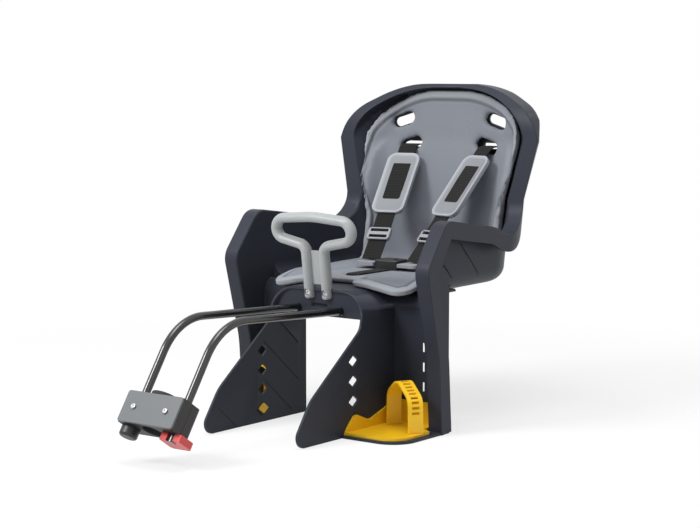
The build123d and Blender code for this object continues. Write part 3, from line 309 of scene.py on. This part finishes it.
# finishes of the rigid pieces, over the plain look
plainLook = {"toneLow": 0.9, "toneHigh": 1.1, "roughSpread": 0.06, "metal": 0.0, "shine": 0.5, "coat": 0.0,
             "coatRough": 0.1}
finishes = {
    "shellPlastic": {"colour": (0.028, 0.032, 0.044), "rough": 0.42, "grain": 1100, "depth": 0.25,
                     "shine": 0.16},
    "handlePlastic": {"colour": (0.35, 0.37, 0.375), "rough": 0.38, "grain": 700, "depth": 0.05},
    "barPaint": {"colour": (0.006, 0.006, 0.007), "rough": 0.24, "grain": 500, "depth": 0.04,
                 "coat": 0.5, "coatRough": 0.12},
    "brightSteel": {"colour": (0.62, 0.63, 0.65), "rough": 0.24, "grain": 900, "depth": 0.05, "metal": 1.0},
    "darkCast": {"colour": (0.014, 0.0125, 0.012), "rough": 0.5, "grain": 600, "depth": 0.35},
    "faceAlloy": {"colour": (0.12, 0.128, 0.136), "rough": 0.5, "grain": 1400, "depth": 0.3, "metal": 0.3},
    "linerRubber": {"colour": (0.016, 0.016, 0.016), "rough": 0.75, "grain": 800, "depth": 0.3},
    "redPlastic": {"colour": (0.56, 0.045, 0.045), "rough": 0.32, "grain": 700, "depth": 0.06},
    "blackPlastic": {"colour": (0.012, 0.012, 0.013), "rough": 0.42, "grain": 900, "depth": 0.15},
    "greyPlastic": {"colour": (0.285, 0.30, 0.325), "rough": 0.5, "grain": 800, "depth": 0.12},
    "yellowPlastic": {"colour": (0.82, 0.48, 0.005), "rough": 0.45, "grain": 420, "depth": 0.3,
                      "toneLow": 0.82, "toneHigh": 1.12},
    "yellowSoft": {"colour": (0.88, 0.53, 0.010), "rough": 0.48, "grain": 650, "depth": 0.1},
}


def newMaterial(name):
    material = bpy.data.materials.new(name)
    material.use_nodes = True
    tree = material.node_tree
    return material, tree, tree.nodes["Principled BSDF"]


def mouldedPlastic(name, finish):
    look = {**plainLook, **finish}
    material, tree, shader = newMaterial(name)
    grain = addNode(tree, "ShaderNodeGroup", [
        ("Grain Scale", look["grain"]), ("Grain Depth", look["depth"]),
        ("Tone Low", look["toneLow"]), ("Tone High", look["toneHigh"]),
        ("Rough Low", look["rough"] - look["roughSpread"]),
        ("Rough High", look["rough"] + look["roughSpread"])], node_tree=mouldGrain).outputs
    feed(tree, shader, [
        ("Base Color", multiplyColours(tree, opaque(look["colour"]), grain["Tone"])),
        ("Roughness", grain["Roughness"]), ("Normal", grain["Normal"]),
        ("Metallic", look["metal"]), ("Specular IOR Level", look["shine"]),
        ("Coat Weight", look["coat"]), ("Coat Roughness", look["coatRough"])])
    return material


paint = {name: mouldedPlastic(name, finish) for name, finish in finishes.items()}

webLook = {"colour": (0.0095, 0.009, 0.0088), "rough": 0.82, "shine": 0.2, "sheen": 0.05, "across": 14.0,
           "along": 80.0, "depth": 0.9}


def makeWebbing():
    material, tree, shader = newMaterial("harnessWebbing")
    weave = addNode(tree, "ShaderNodeGroup", [
        ("Across", webLook["across"]), ("Along", webLook["along"]),
        ("Depth", webLook["depth"])], node_tree=webWeave).outputs
    feed(tree, shader, [
        ("Base Color", multiplyColours(tree, opaque(webLook["colour"]), weave["Tone"])),
        ("Normal", weave["Normal"]), ("Roughness", webLook["rough"]),
        ("Specular IOR Level", webLook["shine"]), ("Sheen Weight", webLook["sheen"])])
    return material


# one factor darkens the colour in the groove inside the border, as painted shade
padLook = {"colour": (0.200, 0.216, 0.248), "border": (0.285, 0.303, 0.332), "grooveShade": 0.55, "rough": 0.85,
           "sheen": 0.1, "pebbles": 460.0, "depth": 0.4}


def makePadCover():
    # the border is paler, and the groove inside it is darkened as painted shade
    material, tree, shader = newMaterial("padCover")
    skin = addNode(tree, "ShaderNodeGroup", [
        ("Pebble Scale", padLook["pebbles"]), ("Depth", padLook["depth"])], node_tree=foamSkin).outputs
    colour = mixColours(tree, pieceMask(tree, "padBorder"), opaque(padLook["colour"]),
                        opaque(padLook["border"]))
    toned = multiplyColours(tree, colour, skin["Tone"])
    paintedGrooveShade = mapTone(tree, pieceMask(tree, "padGrooveShade"), 1.0, padLook["grooveShade"])
    feed(tree, shader, [
        ("Base Color", multiplyColours(tree, toned, paintedGrooveShade)), ("Normal", skin["Normal"]),
        ("Roughness", padLook["rough"]), ("Sheen Weight", padLook["sheen"])])
    return material


# painted light: the rim factor brightens everything off the tray floor as a painted highlight, and the shade
# factor darkens the sunk tray as painted shade
trayLightAndShade = {"rim": 1.22, "shade": 0.74}


def makeFrameCover():
    # the chest pads' plastic, brightened off the tray floor as a painted highlight on the rim and darkened in
    # the sunk tray as painted shade
    material = mouldedPlastic("chestPadPlastic", finishes["greyPlastic"])
    tree = material.node_tree
    shader = tree.nodes["Principled BSDF"]
    plain = shader.inputs["Base Color"].links[0].from_socket
    tone = mapTone(tree, pieceMask(tree, "tray"), trayLightAndShade["rim"], trayLightAndShade["shade"])
    feed(tree, shader, [("Base Color", multiplyColours(tree, plain, tone))])
    return material


webbing = makeWebbing()
padCover = makePadCover()
frameCover = makeFrameCover()
print("materials ready:", len(paint) + 3)


# seat shell: the moulding with its turned rim rounded over
shellShape = {"rimRound": 3.6 * mm, "thinShare": 0.45, "segments": 3, "sharpAngle": 40, "rimSide": 0.168,
              "headFrom": 0.40, "headSide": 0.1, "headTop": 0.485, "floorRim": 0.01,
              "turnedAside": 0.15, "turnedAhead": 0.3, "turnedUp": 0.6}


def isTurned(face):
    # faces of the rim look ahead or up, and hardly to the side
    looks = face.normal
    ahead = looks.y < -shellShape["turnedAhead"] or looks.z > shellShape["turnedUp"]
    return abs(looks.x) < shellShape["turnedAside"] and ahead


def rimWeight(first, second, middle):
    # 1 where the turned rim meets the arms' inside, less on its thin edges, none off the rim
    if first.normal.angle(second.normal) < math.radians(shellShape["sharpAngle"]):
        return 0.0
    if (second.center - first.center).dot(first.normal) > 0 or middle.z < shellShape["floorRim"]:
        return 0.0
    turned = [face for face in (first, second) if isTurned(face)]
    upAside = middle.z > shellShape["headFrom"] and abs(middle.x) > shellShape["headSide"]
    onHead = upAside or middle.z > shellShape["headTop"]
    if len(turned) != 1 or not (onHead or abs(middle.x) > shellShape["rimSide"]):
        return 0.0
    other = second if turned[0] is first else first
    inward = other.normal.x * middle.x < 0
    return 1.0 if inward and not onHead else shellShape["thinShare"]


def finishShell():
    shell = copySolid("seat_shell", "seatShell")
    facesOf = faceNeighbours(shell)
    points = shell.data.vertices
    weights = [0.0] * len(shell.data.edges)
    for edge in shell.data.edges:
        pair = facesOf.get(edge.key, [])
        if len(pair) == 2:
            middle = (points[edge.vertices[0]].co + points[edge.vertices[1]].co) / 2
            weights[edge.index] = rimWeight(pair[0], pair[1], middle)
    shell.data.attributes.new("bevel_weight_edge", "FLOAT", "EDGE").data.foreach_set("value", weights)
    applyModifier(shell, "BEVEL", width=shellShape["rimRound"], segments=shellShape["segments"],
                  limit_method="WEIGHT", use_clamp_overlap=False, loop_slide=False)
    evenNormals(shell, shellShape["sharpAngle"])
    settle(shell, "seat", "shell_plastic", paint["shellPlastic"], "seat_shell")
    print("shell:", len(shell.data.polygons), "faces,", sum(weight > 0 for weight in weights), "rim edges")


finishShell()


# seat pad: foam swollen by cloth pressure, with a raised border
# an area is half its width, its reach from front to back, and its reach from low to high
padShape = {"voxel": 4.3 * mm, "heart": Vector((0.0, 0.12, 0.42)),
            "edgeAngle": 50, "edgeFacing": 0.45, "edgeStep": 3 * mm,
            "slotArea": (0.122, (0.30, 1.0), (0.40, 0.482)),
            "crotchArea": (0.02, (0.083, 0.099), (0.0, 1.0)),
            "buckleArea": (0.064, (0.080, 0.225), (0.0, 0.25)),
            "edgeReach": (10 * mm, 20 * mm), "smoothing": 0.5,
            "facePasses": 5, "edgePasses": 24, "waistPasses": 90, "lastPasses": 2,
            "waist": (0.335, 0.385, 0.04), "tuck": 3.0 * mm, "tuckSide": (0.11, 0.15),
            "backRise": (0.24, 0.30), "clearSide": 0.006, "clearBack": 0.3 * mm,
            "pressure": 4.0, "quality": 5, "lastFrame": 20,
            "swell": 3.0 * mm, "swellFacing": (0.1, 0.6),
            "chestRise": (0.29, 0.33), "chestSide": (0.115, 0.135),
            "borderWide": 15.0 * mm, "borderRise": 2.4 * mm, "borderFacing": (-0.2, 0.3),
            "beadFade": (3 * mm, 1 * mm), "groove": 1.8 * mm, "grooveAway": 2.5 * mm, "grooveWide": 2 * mm,
            "droop": 12.0 * mm, "droopBelow": 0.28, "droopReach": (0.035, 0.110), "droopSide": (0.050, 0.130)}


def inArea(point, area):
    half, (front, back), (low, high) = area
    return abs(point.x) < half and front < point.y < back and low < point.z < high


def facesHeart(point, normal):
    # how far a face looks towards the child's place: 1 is straight at it
    return (padShape["heart"] - point).normalized().dot(normal)


def padOutline(pad):
    # points along the front edge of the pad, without the strap slots
    mesh = pad.data
    points = []
    for (a, b), pair in faceNeighbours(pad).items():
        if len(pair) != 2 or pair[0].normal.angle(pair[1].normal) < math.radians(padShape["edgeAngle"]):
            continue
        start, end = mesh.vertices[a].co, mesh.vertices[b].co
        middle = (start + end) / 2
        inSlot = inArea(middle, padShape["slotArea"]) or inArea(middle, padShape["crotchArea"])
        front = max(facesHeart(middle, face.normal) for face in pair) > padShape["edgeFacing"]
        if inSlot or not front:
            continue
        steps = max(int((end - start).length / padShape["edgeStep"]), 1)
        points += [start.lerp(end, k / steps) for k in range(steps + 1)]
    tree = kdtree.KDTree(len(points))
    for index, point in enumerate(points):
        tree.insert(point, index)
    tree.balance()
    return tree


def waistLevel(z):
    # 1 where the shell's waist is narrow, 0 well above and below it
    low, high, blend = padShape["waist"]
    return smoothStep(z, low - blend, low) * (1 - smoothStep(z, high, high + blend))


def softenEdge(pad, outline):
    # rounds the thin edge of the foam more than its faces, and most at the waist
    near = pad.vertex_groups.new(name="edge")
    waist = pad.vertex_groups.new(name="waist")
    for vertex in pad.data.vertices:
        weight = 1 - smoothStep(outline.find(vertex.co)[2], *padShape["edgeReach"])
        near.add([vertex.index], weight, "REPLACE")
        waist.add([vertex.index], weight * waistLevel(vertex.co.z), "REPLACE")
    for group, passes in (("", "facePasses"), ("edge", "edgePasses"), ("waist", "waistPasses")):
        applyModifier(pad, "SMOOTH", factor=padShape["smoothing"], iterations=padShape[passes],
                      vertex_group=group)


def clearShell(pad):
    # keeps the upright part off the shell's back and sides
    for vertex in pad.data.vertices:
        upright = smoothStep(vertex.co.z, *padShape["backRise"])
        vertex.co.x *= 1 - padShape["clearSide"] * upright
        aside = smoothStep(abs(vertex.co.x), *padShape["tuckSide"])
        vertex.co.x -= math.copysign(padShape["tuck"] * waistLevel(vertex.co.z) * aside, vertex.co.x)
        vertex.co.y -= padShape["clearBack"] * upright


def swellPad(pad):
    pick(pad)
    cloth = pad.modifiers.new("swell", "CLOTH")
    cloth.settings.use_pressure = True
    cloth.settings.uniform_pressure_force = padShape["pressure"]
    cloth.settings.effector_weights.gravity = 0.0
    cloth.settings.quality = padShape["quality"]
    for frameNumber in range(1, padShape["lastFrame"] + 1):
        scene.frame_set(frameNumber)
    bpy.ops.object.modifier_apply(modifier=cloth.name)
    scene.frame_set(1)


def limitSwell(pad, rest, normals):
    # the swell shows on the front, and not under the buckle or near the chest pads
    for vertex, home, normal in zip(pad.data.vertices, rest, normals):
        limit = padShape["swell"] * smoothStep(facesHeart(home, normal), *padShape["swellFacing"])
        if inArea(home, padShape["buckleArea"]):
            limit = 0.0
        inside = 1 - smoothStep(abs(home.x), *padShape["chestSide"])
        limit *= 1 - smoothStep(home.z, *padShape["chestRise"]) * inside
        move = vertex.co - home
        if move.length > limit:
            move = move.normalized() * limit if limit > 0 else Vector((0, 0, 0))
        vertex.co = home + move


def raiseBorder(pad, outline):
    mask = pad.data.attributes.new("padBorder", "FLOAT", "POINT")
    # the second mask marks the groove, where the cover's colour gets painted shade
    grooveShade = pad.data.attributes.new("padGrooveShade", "FLOAT", "POINT")
    wide = padShape["borderWide"]
    before, after = padShape["beadFade"]
    normals = [vertex.normal.copy() for vertex in pad.data.vertices]
    for vertex, normal in zip(pad.data.vertices, normals):
        reach = outline.find(vertex.co)[2]
        front = smoothStep(facesHeart(vertex.co, normal), *padShape["borderFacing"])
        bead = 1 - smoothStep(reach, wide - before, wide + after)
        dip = math.exp(-((reach - wide - padShape["grooveAway"]) / padShape["grooveWide"]) ** 2)
        vertex.co = vertex.co + normal * front * (padShape["borderRise"] * bead - padShape["groove"] * dip)
        mask.data[vertex.index].value = bead
        grooveShade.data[vertex.index].value = dip * front


def hangFront(pad):
    # the front lobes bend down where the hood under them falls away
    for vertex in pad.data.vertices:
        if vertex.co.z < padShape["droopBelow"]:
            aside = smoothStep(abs(vertex.co.x), *padShape["droopSide"])
            ahead = 1 - smoothStep(vertex.co.y, *padShape["droopReach"])
            vertex.co.z -= padShape["droop"] * aside * ahead


def makePad():
    pad = copySolid("seat_pad", "seatPad", 0)
    outline = padOutline(pad)
    applyModifier(pad, "REMESH", mode="VOXEL", voxel_size=padShape["voxel"])
    softenEdge(pad, outline)
    clearShell(pad)
    rest = [vertex.co.copy() for vertex in pad.data.vertices]
    normals = [vertex.normal.copy() for vertex in pad.data.vertices]
    swellPad(pad)
    limitSwell(pad, rest, normals)
    applyModifier(pad, "SMOOTH", factor=padShape["smoothing"], iterations=padShape["lastPasses"])
    applyModifier(pad, "SUBSURF", levels=1, render_levels=1)
    raiseBorder(pad, outline)
    hangFront(pad)
    smoothByAngle(pad, 180)
    settle(pad, "seat", "pad_fabric", padCover, "seat_pad")
    print("pad:", len(pad.data.polygons), "faces")


makePad()


# harness webbing: flat straps from the back slots to the buckle and up between the legs
strapShape = {"wide": 32.0 * mm, "thick": 1.8 * mm, "slotToPad": 84.0 * mm, "tail": 24.0 * mm,
              "bow": 1.5 * mm, "bowFrom": 0.15, "bend": 9.0 * mm, "steps": 72, "lanes": 8,
              "edgeRound": 0.5 * mm, "edgeSteps": 2, "edgeAngle": 50, "smoothAngle": 40}
crotchShape = {"bend": 5 * mm, "steps": 40}
sides = ("left", "right")
joints = {joint["name"]: joint for joint in frame["joints"]}


def strapFrame(side):
    # middle of the shoulder pad: across the strap, down along it, off its face
    along = Vector(joints["chest_pad_slide_" + side]["axis"]).normalized()
    across = Vector((along.x, along.y, 0)).cross(Vector((0, 0, 1))).normalized()
    off = across.cross(along).normalized()
    if off.z < 0:
        across, off = -across, -off
    low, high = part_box("shoulder_pad_" + side)
    turn = Matrix((across, along, off)).transposed().to_4x4()
    return Matrix.Translation((low + high) / 2) @ turn


def bandGrid(name, wide, steps, place):
    # a grid whose rows follow place(t), which gives the middle point and the across vector
    deselectAll()
    bpy.ops.mesh.primitive_grid_add(x_subdivisions=strapShape["lanes"], y_subdivisions=steps, size=1,
                                    calc_uvs=True)
    band = bpy.context.object
    band.name = name
    for vertex in band.data.vertices:
        middle, across = place(vertex.co.y + 0.5)
        vertex.co = middle + across * (vertex.co.x * wide)
    return band


def pathPoint(points, t):
    # point at share t of a polyline's length
    lengths = [(b - a).length for a, b in zip(points, points[1:])]
    goal = t * sum(lengths)
    for a, b, length in zip(points, points[1:], lengths):
        if goal <= length or b is points[-1]:
            return a.lerp(b, min(goal / length, 1.0))
        goal -= length


def roundedPath(corners, radius, count=8):
    # polyline with its corners turned into short curves
    points = [corners[0]]
    for before, corner, after in zip(corners, corners[1:], corners[2:]):
        start = corner + (before - corner).normalized() * radius
        end = corner + (after - corner).normalized() * radius
        for k in range(count + 1):
            t = k / count
            points.append((1 - t) ** 2 * start + 2 * t * (1 - t) * corner + t * t * end)
    return points + [corners[-1]]


def finishBand(band, *stands):
    applyModifier(band, "SOLIDIFY", thickness=strapShape["thick"], offset=0.0)
    bevelSharp(band, strapShape["edgeRound"], strapShape["edgeSteps"], strapShape["edgeAngle"])
    smoothByAngle(band, strapShape["smoothAngle"])
    settle(band, "seat", "webbing", webbing, *stands)


def makeShoulderStrap(side):
    place = strapFrame(side)
    across, along, off = (place.col[k].to_3d() for k in range(3))
    middle = place.translation
    head = middle - along * strapShape["slotToPad"]
    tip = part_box("shoulder_strap_" + side)[0].z
    foot = middle + along * ((middle.z - tip - strapShape["thick"]) / -along.z)
    tail = head + Vector((along.x, along.y, 0)).normalized() * -strapShape["tail"]
    path = roundedPath([tail, head, foot], strapShape["bend"])

    def follow(t):
        share = min(max((t - strapShape["bowFrom"]) / (1 - strapShape["bowFrom"]), 0), 1)
        return pathPoint(path, t) + off * (strapShape["bow"] * math.sin(math.tau * share)), across

    band = bandGrid("shoulderStrap_" + side, strapShape["wide"], strapShape["steps"], follow)
    finishBand(band, "shoulder_strap_" + side)


def makeCrotchStrap():
    low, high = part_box("crotch_strap")
    half = strapShape["thick"] / 2
    top, front = high.z - half, low.y + half
    path = roundedPath([Vector((0, high.y, top)), Vector((0, front, top)), Vector((0, front, low.z))],
                       crotchShape["bend"])
    band = bandGrid("crotchStrap", high.x - low.x, crotchShape["steps"],
                    lambda t: (pathPoint(path, t), Vector((1, 0, 0))))
    finishBand(band, "crotch_strap")


for side in sides:
    makeShoulderStrap(side)
makeCrotchStrap()
print("webbing laid")


# chest pads: frames with a sunk tray and a window on the strap
chestShape = {"wide": 58.0 * mm, "long": 126.0 * mm, "thick": 9.0 * mm, "corner": 15.0 * mm, "cornerSteps": 6,
              "rim": 7.0 * mm, "rimShare": 0.6, "sink": 2.6 * mm, "round": 2.0 * mm, "roundSteps": 3,
              "roundAngle": 40, "smoothAngle": 38, "windowWide": 31.0 * mm, "windowLong": 68.0 * mm,
              "windowCorner": 4 * mm, "windowSteps": 4, "windowFloor": 0.5 * mm, "windowTall": 100.0 * mm,
              "passageSide": 0.8 * mm, "passageTall": 1.0 * mm, "passageLong": 1.0}


def addBlock(size, middle=(0, 0, 0)):
    bpy.ops.mesh.primitive_cube_add(size=1, location=middle)
    block = bpy.context.object
    for vertex in block.data.vertices:
        vertex.co = Vector((vertex.co.x * size[0], vertex.co.y * size[1], vertex.co.z * size[2]))
    return block


def roundCorners(block, tall, radius, segments):
    # bevels the upright edges
    selectEdges(block, lambda a, b: abs(a.z - b.z) > 0.5 * tall)
    bpy.ops.mesh.bevel(offset=radius, segments=segments)
    bpy.ops.object.mode_set(mode="OBJECT")


def cutThrough(obj, size, middle, corner=0.0):
    # takes a block out of a piece with a boolean
    pick(obj)
    block = addBlock(size, middle)
    if corner:
        roundCorners(block, size[2], corner, chestShape["windowSteps"])
    applyModifier(obj, "BOOLEAN", operation="DIFFERENCE", object=block, solver="EXACT")
    bpy.data.objects.remove(block)


def markTrayShade(pad):
    # 1 on the floor of the tray, 0 on the rim and outside it; the mask for the painted shade in the tray and
    # the painted highlight off it
    size = chestShape
    tray = pad.data.attributes.new("tray", "FLOAT", "POINT")
    top = size["thick"] / 2
    halfWide, halfLong = (size[key] / 2 - size["rimShare"] * size["rim"] for key in ("wide", "long"))
    for vertex in pad.data.vertices:
        deep = 1 - smoothStep(vertex.co.z, top - size["sink"], top - 0.5 * size["sink"])
        inside = abs(vertex.co.x) < halfWide and abs(vertex.co.y) <= halfLong
        tray.data[vertex.index].value = deep if inside else 0.0


def makeChestPad(side):
    size = chestShape
    deselectAll()
    pad = addBlock((size["wide"], size["long"], size["thick"]))
    pad.name = "chestPad_" + side
    roundCorners(pad, size["thick"], size["corner"], size["cornerSteps"])
    selectFaces(pad, lambda face: face.normal.z > 0.9)
    bpy.ops.mesh.inset(thickness=size["rim"])
    bpy.ops.transform.translate(value=(0, 0, -size["sink"]))
    bpy.ops.object.mode_set(mode="OBJECT")
    bevelSharp(pad, size["round"], size["roundSteps"], size["roundAngle"])
    cutThrough(pad, (size["windowWide"], size["windowLong"], size["windowTall"]),
               (0, 0, size["windowFloor"] + size["windowTall"] / 2), size["windowCorner"])
    cutThrough(pad, (strapShape["wide"] + size["passageSide"], size["passageLong"],
                     strapShape["thick"] + size["passageTall"]), (0, 0, 0))
    markTrayShade(pad)
    pad.data.transform(strapFrame(side))
    smoothByAngle(pad, size["smoothAngle"])
    settle(pad, "chest_pad_" + side, "grey_plastic", frameCover, "shoulder_pad_" + side)


for side in sides:
    makeChestPad(side)
print("chest pads made")


# rigid solids that keep their shape: edges broken by so many mm, and faces smoothed
rigidShape = {"segments": 2, "sharpAngle": 45, "smoothAngle": 35}
rigidPieces = {
    "grab_handle": ("handlePlastic", "handle_plastic", 0.0),
    "handle_screws": ("brightSteel", "bright_steel", 0.0),
    "carrier_bar": ("barPaint", "bar_paint", 0.0),
    "bar_clamp_plate": ("barPaint", "bar_paint", 0.4),
    "bar_clamp_bolts": ("brightSteel", "bright_steel", 0.0),
    "clamp_front_jaw": ("darkCast", "dark_cast", 0.8),
    "clamp_rear_jaw": ("darkCast", "dark_cast", 0.8),
    "tube_liner_front": ("linerRubber", "liner_rubber", 0.5),
    "tube_liner_rear": ("linerRubber", "liner_rubber", 0.5),
    "face_plate": ("faceAlloy", "face_alloy", 0.0),
    "plate_screws": ("brightSteel", "bright_steel", 0.0),
    "lock_slider": ("redPlastic", "red_plastic", 0.8),
    "arm_end_cap": ("blackPlastic", "black_plastic", 0.0),
    "crotch_stop": ("blackPlastic", "black_plastic", 0.5),
    "buckle_body": ("blackPlastic", "black_plastic", 0.6),
    "buckle_button": ("blackPlastic", "black_plastic", 0.4),
    "button_spring": ("brightSteel", "bright_steel", 0.0),
    "strap_adjuster_left": ("greyPlastic", "grey_plastic", 0.5),
    "strap_adjuster_right": ("greyPlastic", "grey_plastic", 0.5),
    "strap_stop_left": ("blackPlastic", "black_plastic", 0.5),
    "strap_stop_right": ("blackPlastic", "black_plastic", 0.5),
    "tongue_left": ("greyPlastic", "grey_plastic", 0.8),
    "tongue_right": ("greyPlastic", "grey_plastic", 0.8),
    "footrest_left": ("yellowPlastic", "yellow_plastic", 1.2),
    "footrest_right": ("yellowPlastic", "yellow_plastic", 1.2),
    "foot_strap_left": ("yellowSoft", "yellow_soft", 0.8),
    "foot_strap_right": ("yellowSoft", "yellow_soft", 0.8),
}


def finishRigid(name, finish, slot, edge):
    piece = copySolid(name, name + "Finished")
    if edge:
        bevelSharp(piece, edge * mm, rigidShape["segments"], rigidShape["sharpAngle"])
    evenNormals(piece, rigidShape["smoothAngle"])
    settle(piece, nodes[name]["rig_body"], slot, paint[finish], name)


for name, (finish, slot, edge) in rigidPieces.items():
    finishRigid(name, finish, slot, edge)
print("rigid pieces finished:", len(rigidPieces))


# floor, light and camera
studio = {"floor": 30.0, "floorDrop": 0.5 * mm, "floorColour": (0.92, 0.92, 0.92), "floorRough": 0.9,
          "floorShine": 0.1, "floorWhite": 0.7, "shadowReach": (0.5, 1.3), "worldLight": 0.32}
lamps = {"key": {"at": (-1.1, -2.3, 2.4), "size": 1.1, "power": 80.0},
         "fill": {"at": (2.6, -1.4, 1.5), "size": 1.6, "power": 4.0},
         "top": {"at": (0.3, -0.3, 2.6), "size": 1.3, "power": 34.0}}
view = {"at": (1.754, -2.209, 0.559), "lookAt": (0.0, 0.0849, 0.2442), "lens": 95.2, "sensor": 36.0}


def lightPathMix(tree):
    # 1 for rays that should see the plain white ground
    path = addNode(tree, "ShaderNodeLightPath").outputs
    seen = calc(tree, "MAXIMUM", path["Is Camera Ray"], path["Is Glossy Ray"])
    return calc(tree, "MAXIMUM", seen, path["Is Transmission Ray"])


def makeFloor():
    # keeps the shadow near the seat and turns white farther out
    deselectAll()
    bpy.ops.mesh.primitive_plane_add(size=studio["floor"], location=(0, 0, -studio["floorDrop"]))
    floor = bpy.context.object
    floor.name = "studioFloor"
    material, tree, shader = newMaterial("paleFloor")
    feed(tree, shader, [("Base Color", opaque(studio["floorColour"])), ("Roughness", studio["floorRough"]),
                        ("Specular IOR Level", studio["floorShine"])])
    place = addNode(tree, "ShaderNodeTexCoord").outputs["Object"]
    reach = addNode(tree, "ShaderNodeVectorMath", [(0, place)], operation="LENGTH").outputs["Value"]
    far = mapTone(tree, reach, studio["floorWhite"], 1.0, *studio["shadowReach"])
    share = calc(tree, "MULTIPLY", far, lightPathMix(tree))
    white = addNode(tree, "ShaderNodeEmission").outputs[0]
    mix = addNode(tree, "ShaderNodeMixShader", [(0, share), (1, shader.outputs[0]), (2, white)]).outputs[0]
    feed(tree, tree.nodes["Material Output"], [("Surface", mix)])
    floor.data.materials.append(material)


def makeWorld():
    world = bpy.data.worlds.new("studioWorld")
    world.use_nodes = True
    scene.world = world
    tree = world.node_tree
    strength = mapTone(tree, lightPathMix(tree), studio["worldLight"], 1.0)
    feed(tree, tree.nodes["Background"], [("Color", (1.0, 1.0, 1.0, 1.0)), ("Strength", strength)])


def placeFacing(name, data, at):
    # a lamp or camera that looks at the middle of the seat
    obj = bpy.data.objects.new(name, data)
    obj.location = at
    obj.rotation_euler = (Vector(view["lookAt"]) - Vector(at)).to_track_quat("-Z", "Y").to_euler()
    scene.collection.objects.link(obj)
    return obj


def makeLamps():
    for name, lamp in lamps.items():
        data = bpy.data.lights.new(name + "Softbox", "AREA")
        data.size = lamp["size"]
        data.energy = lamp["power"]
        placeFacing(name + "Softbox", data, lamp["at"])


def makeCamera():
    data = bpy.data.cameras.new("photoCamera")
    data.lens = view["lens"]
    data.sensor_width = view["sensor"]
    scene.camera = placeFacing("photoCamera", data, view["at"])


makeFloor()
makeWorld()
makeLamps()
makeCamera()
scene.view_settings.view_transform = "Standard"
print("studio set")
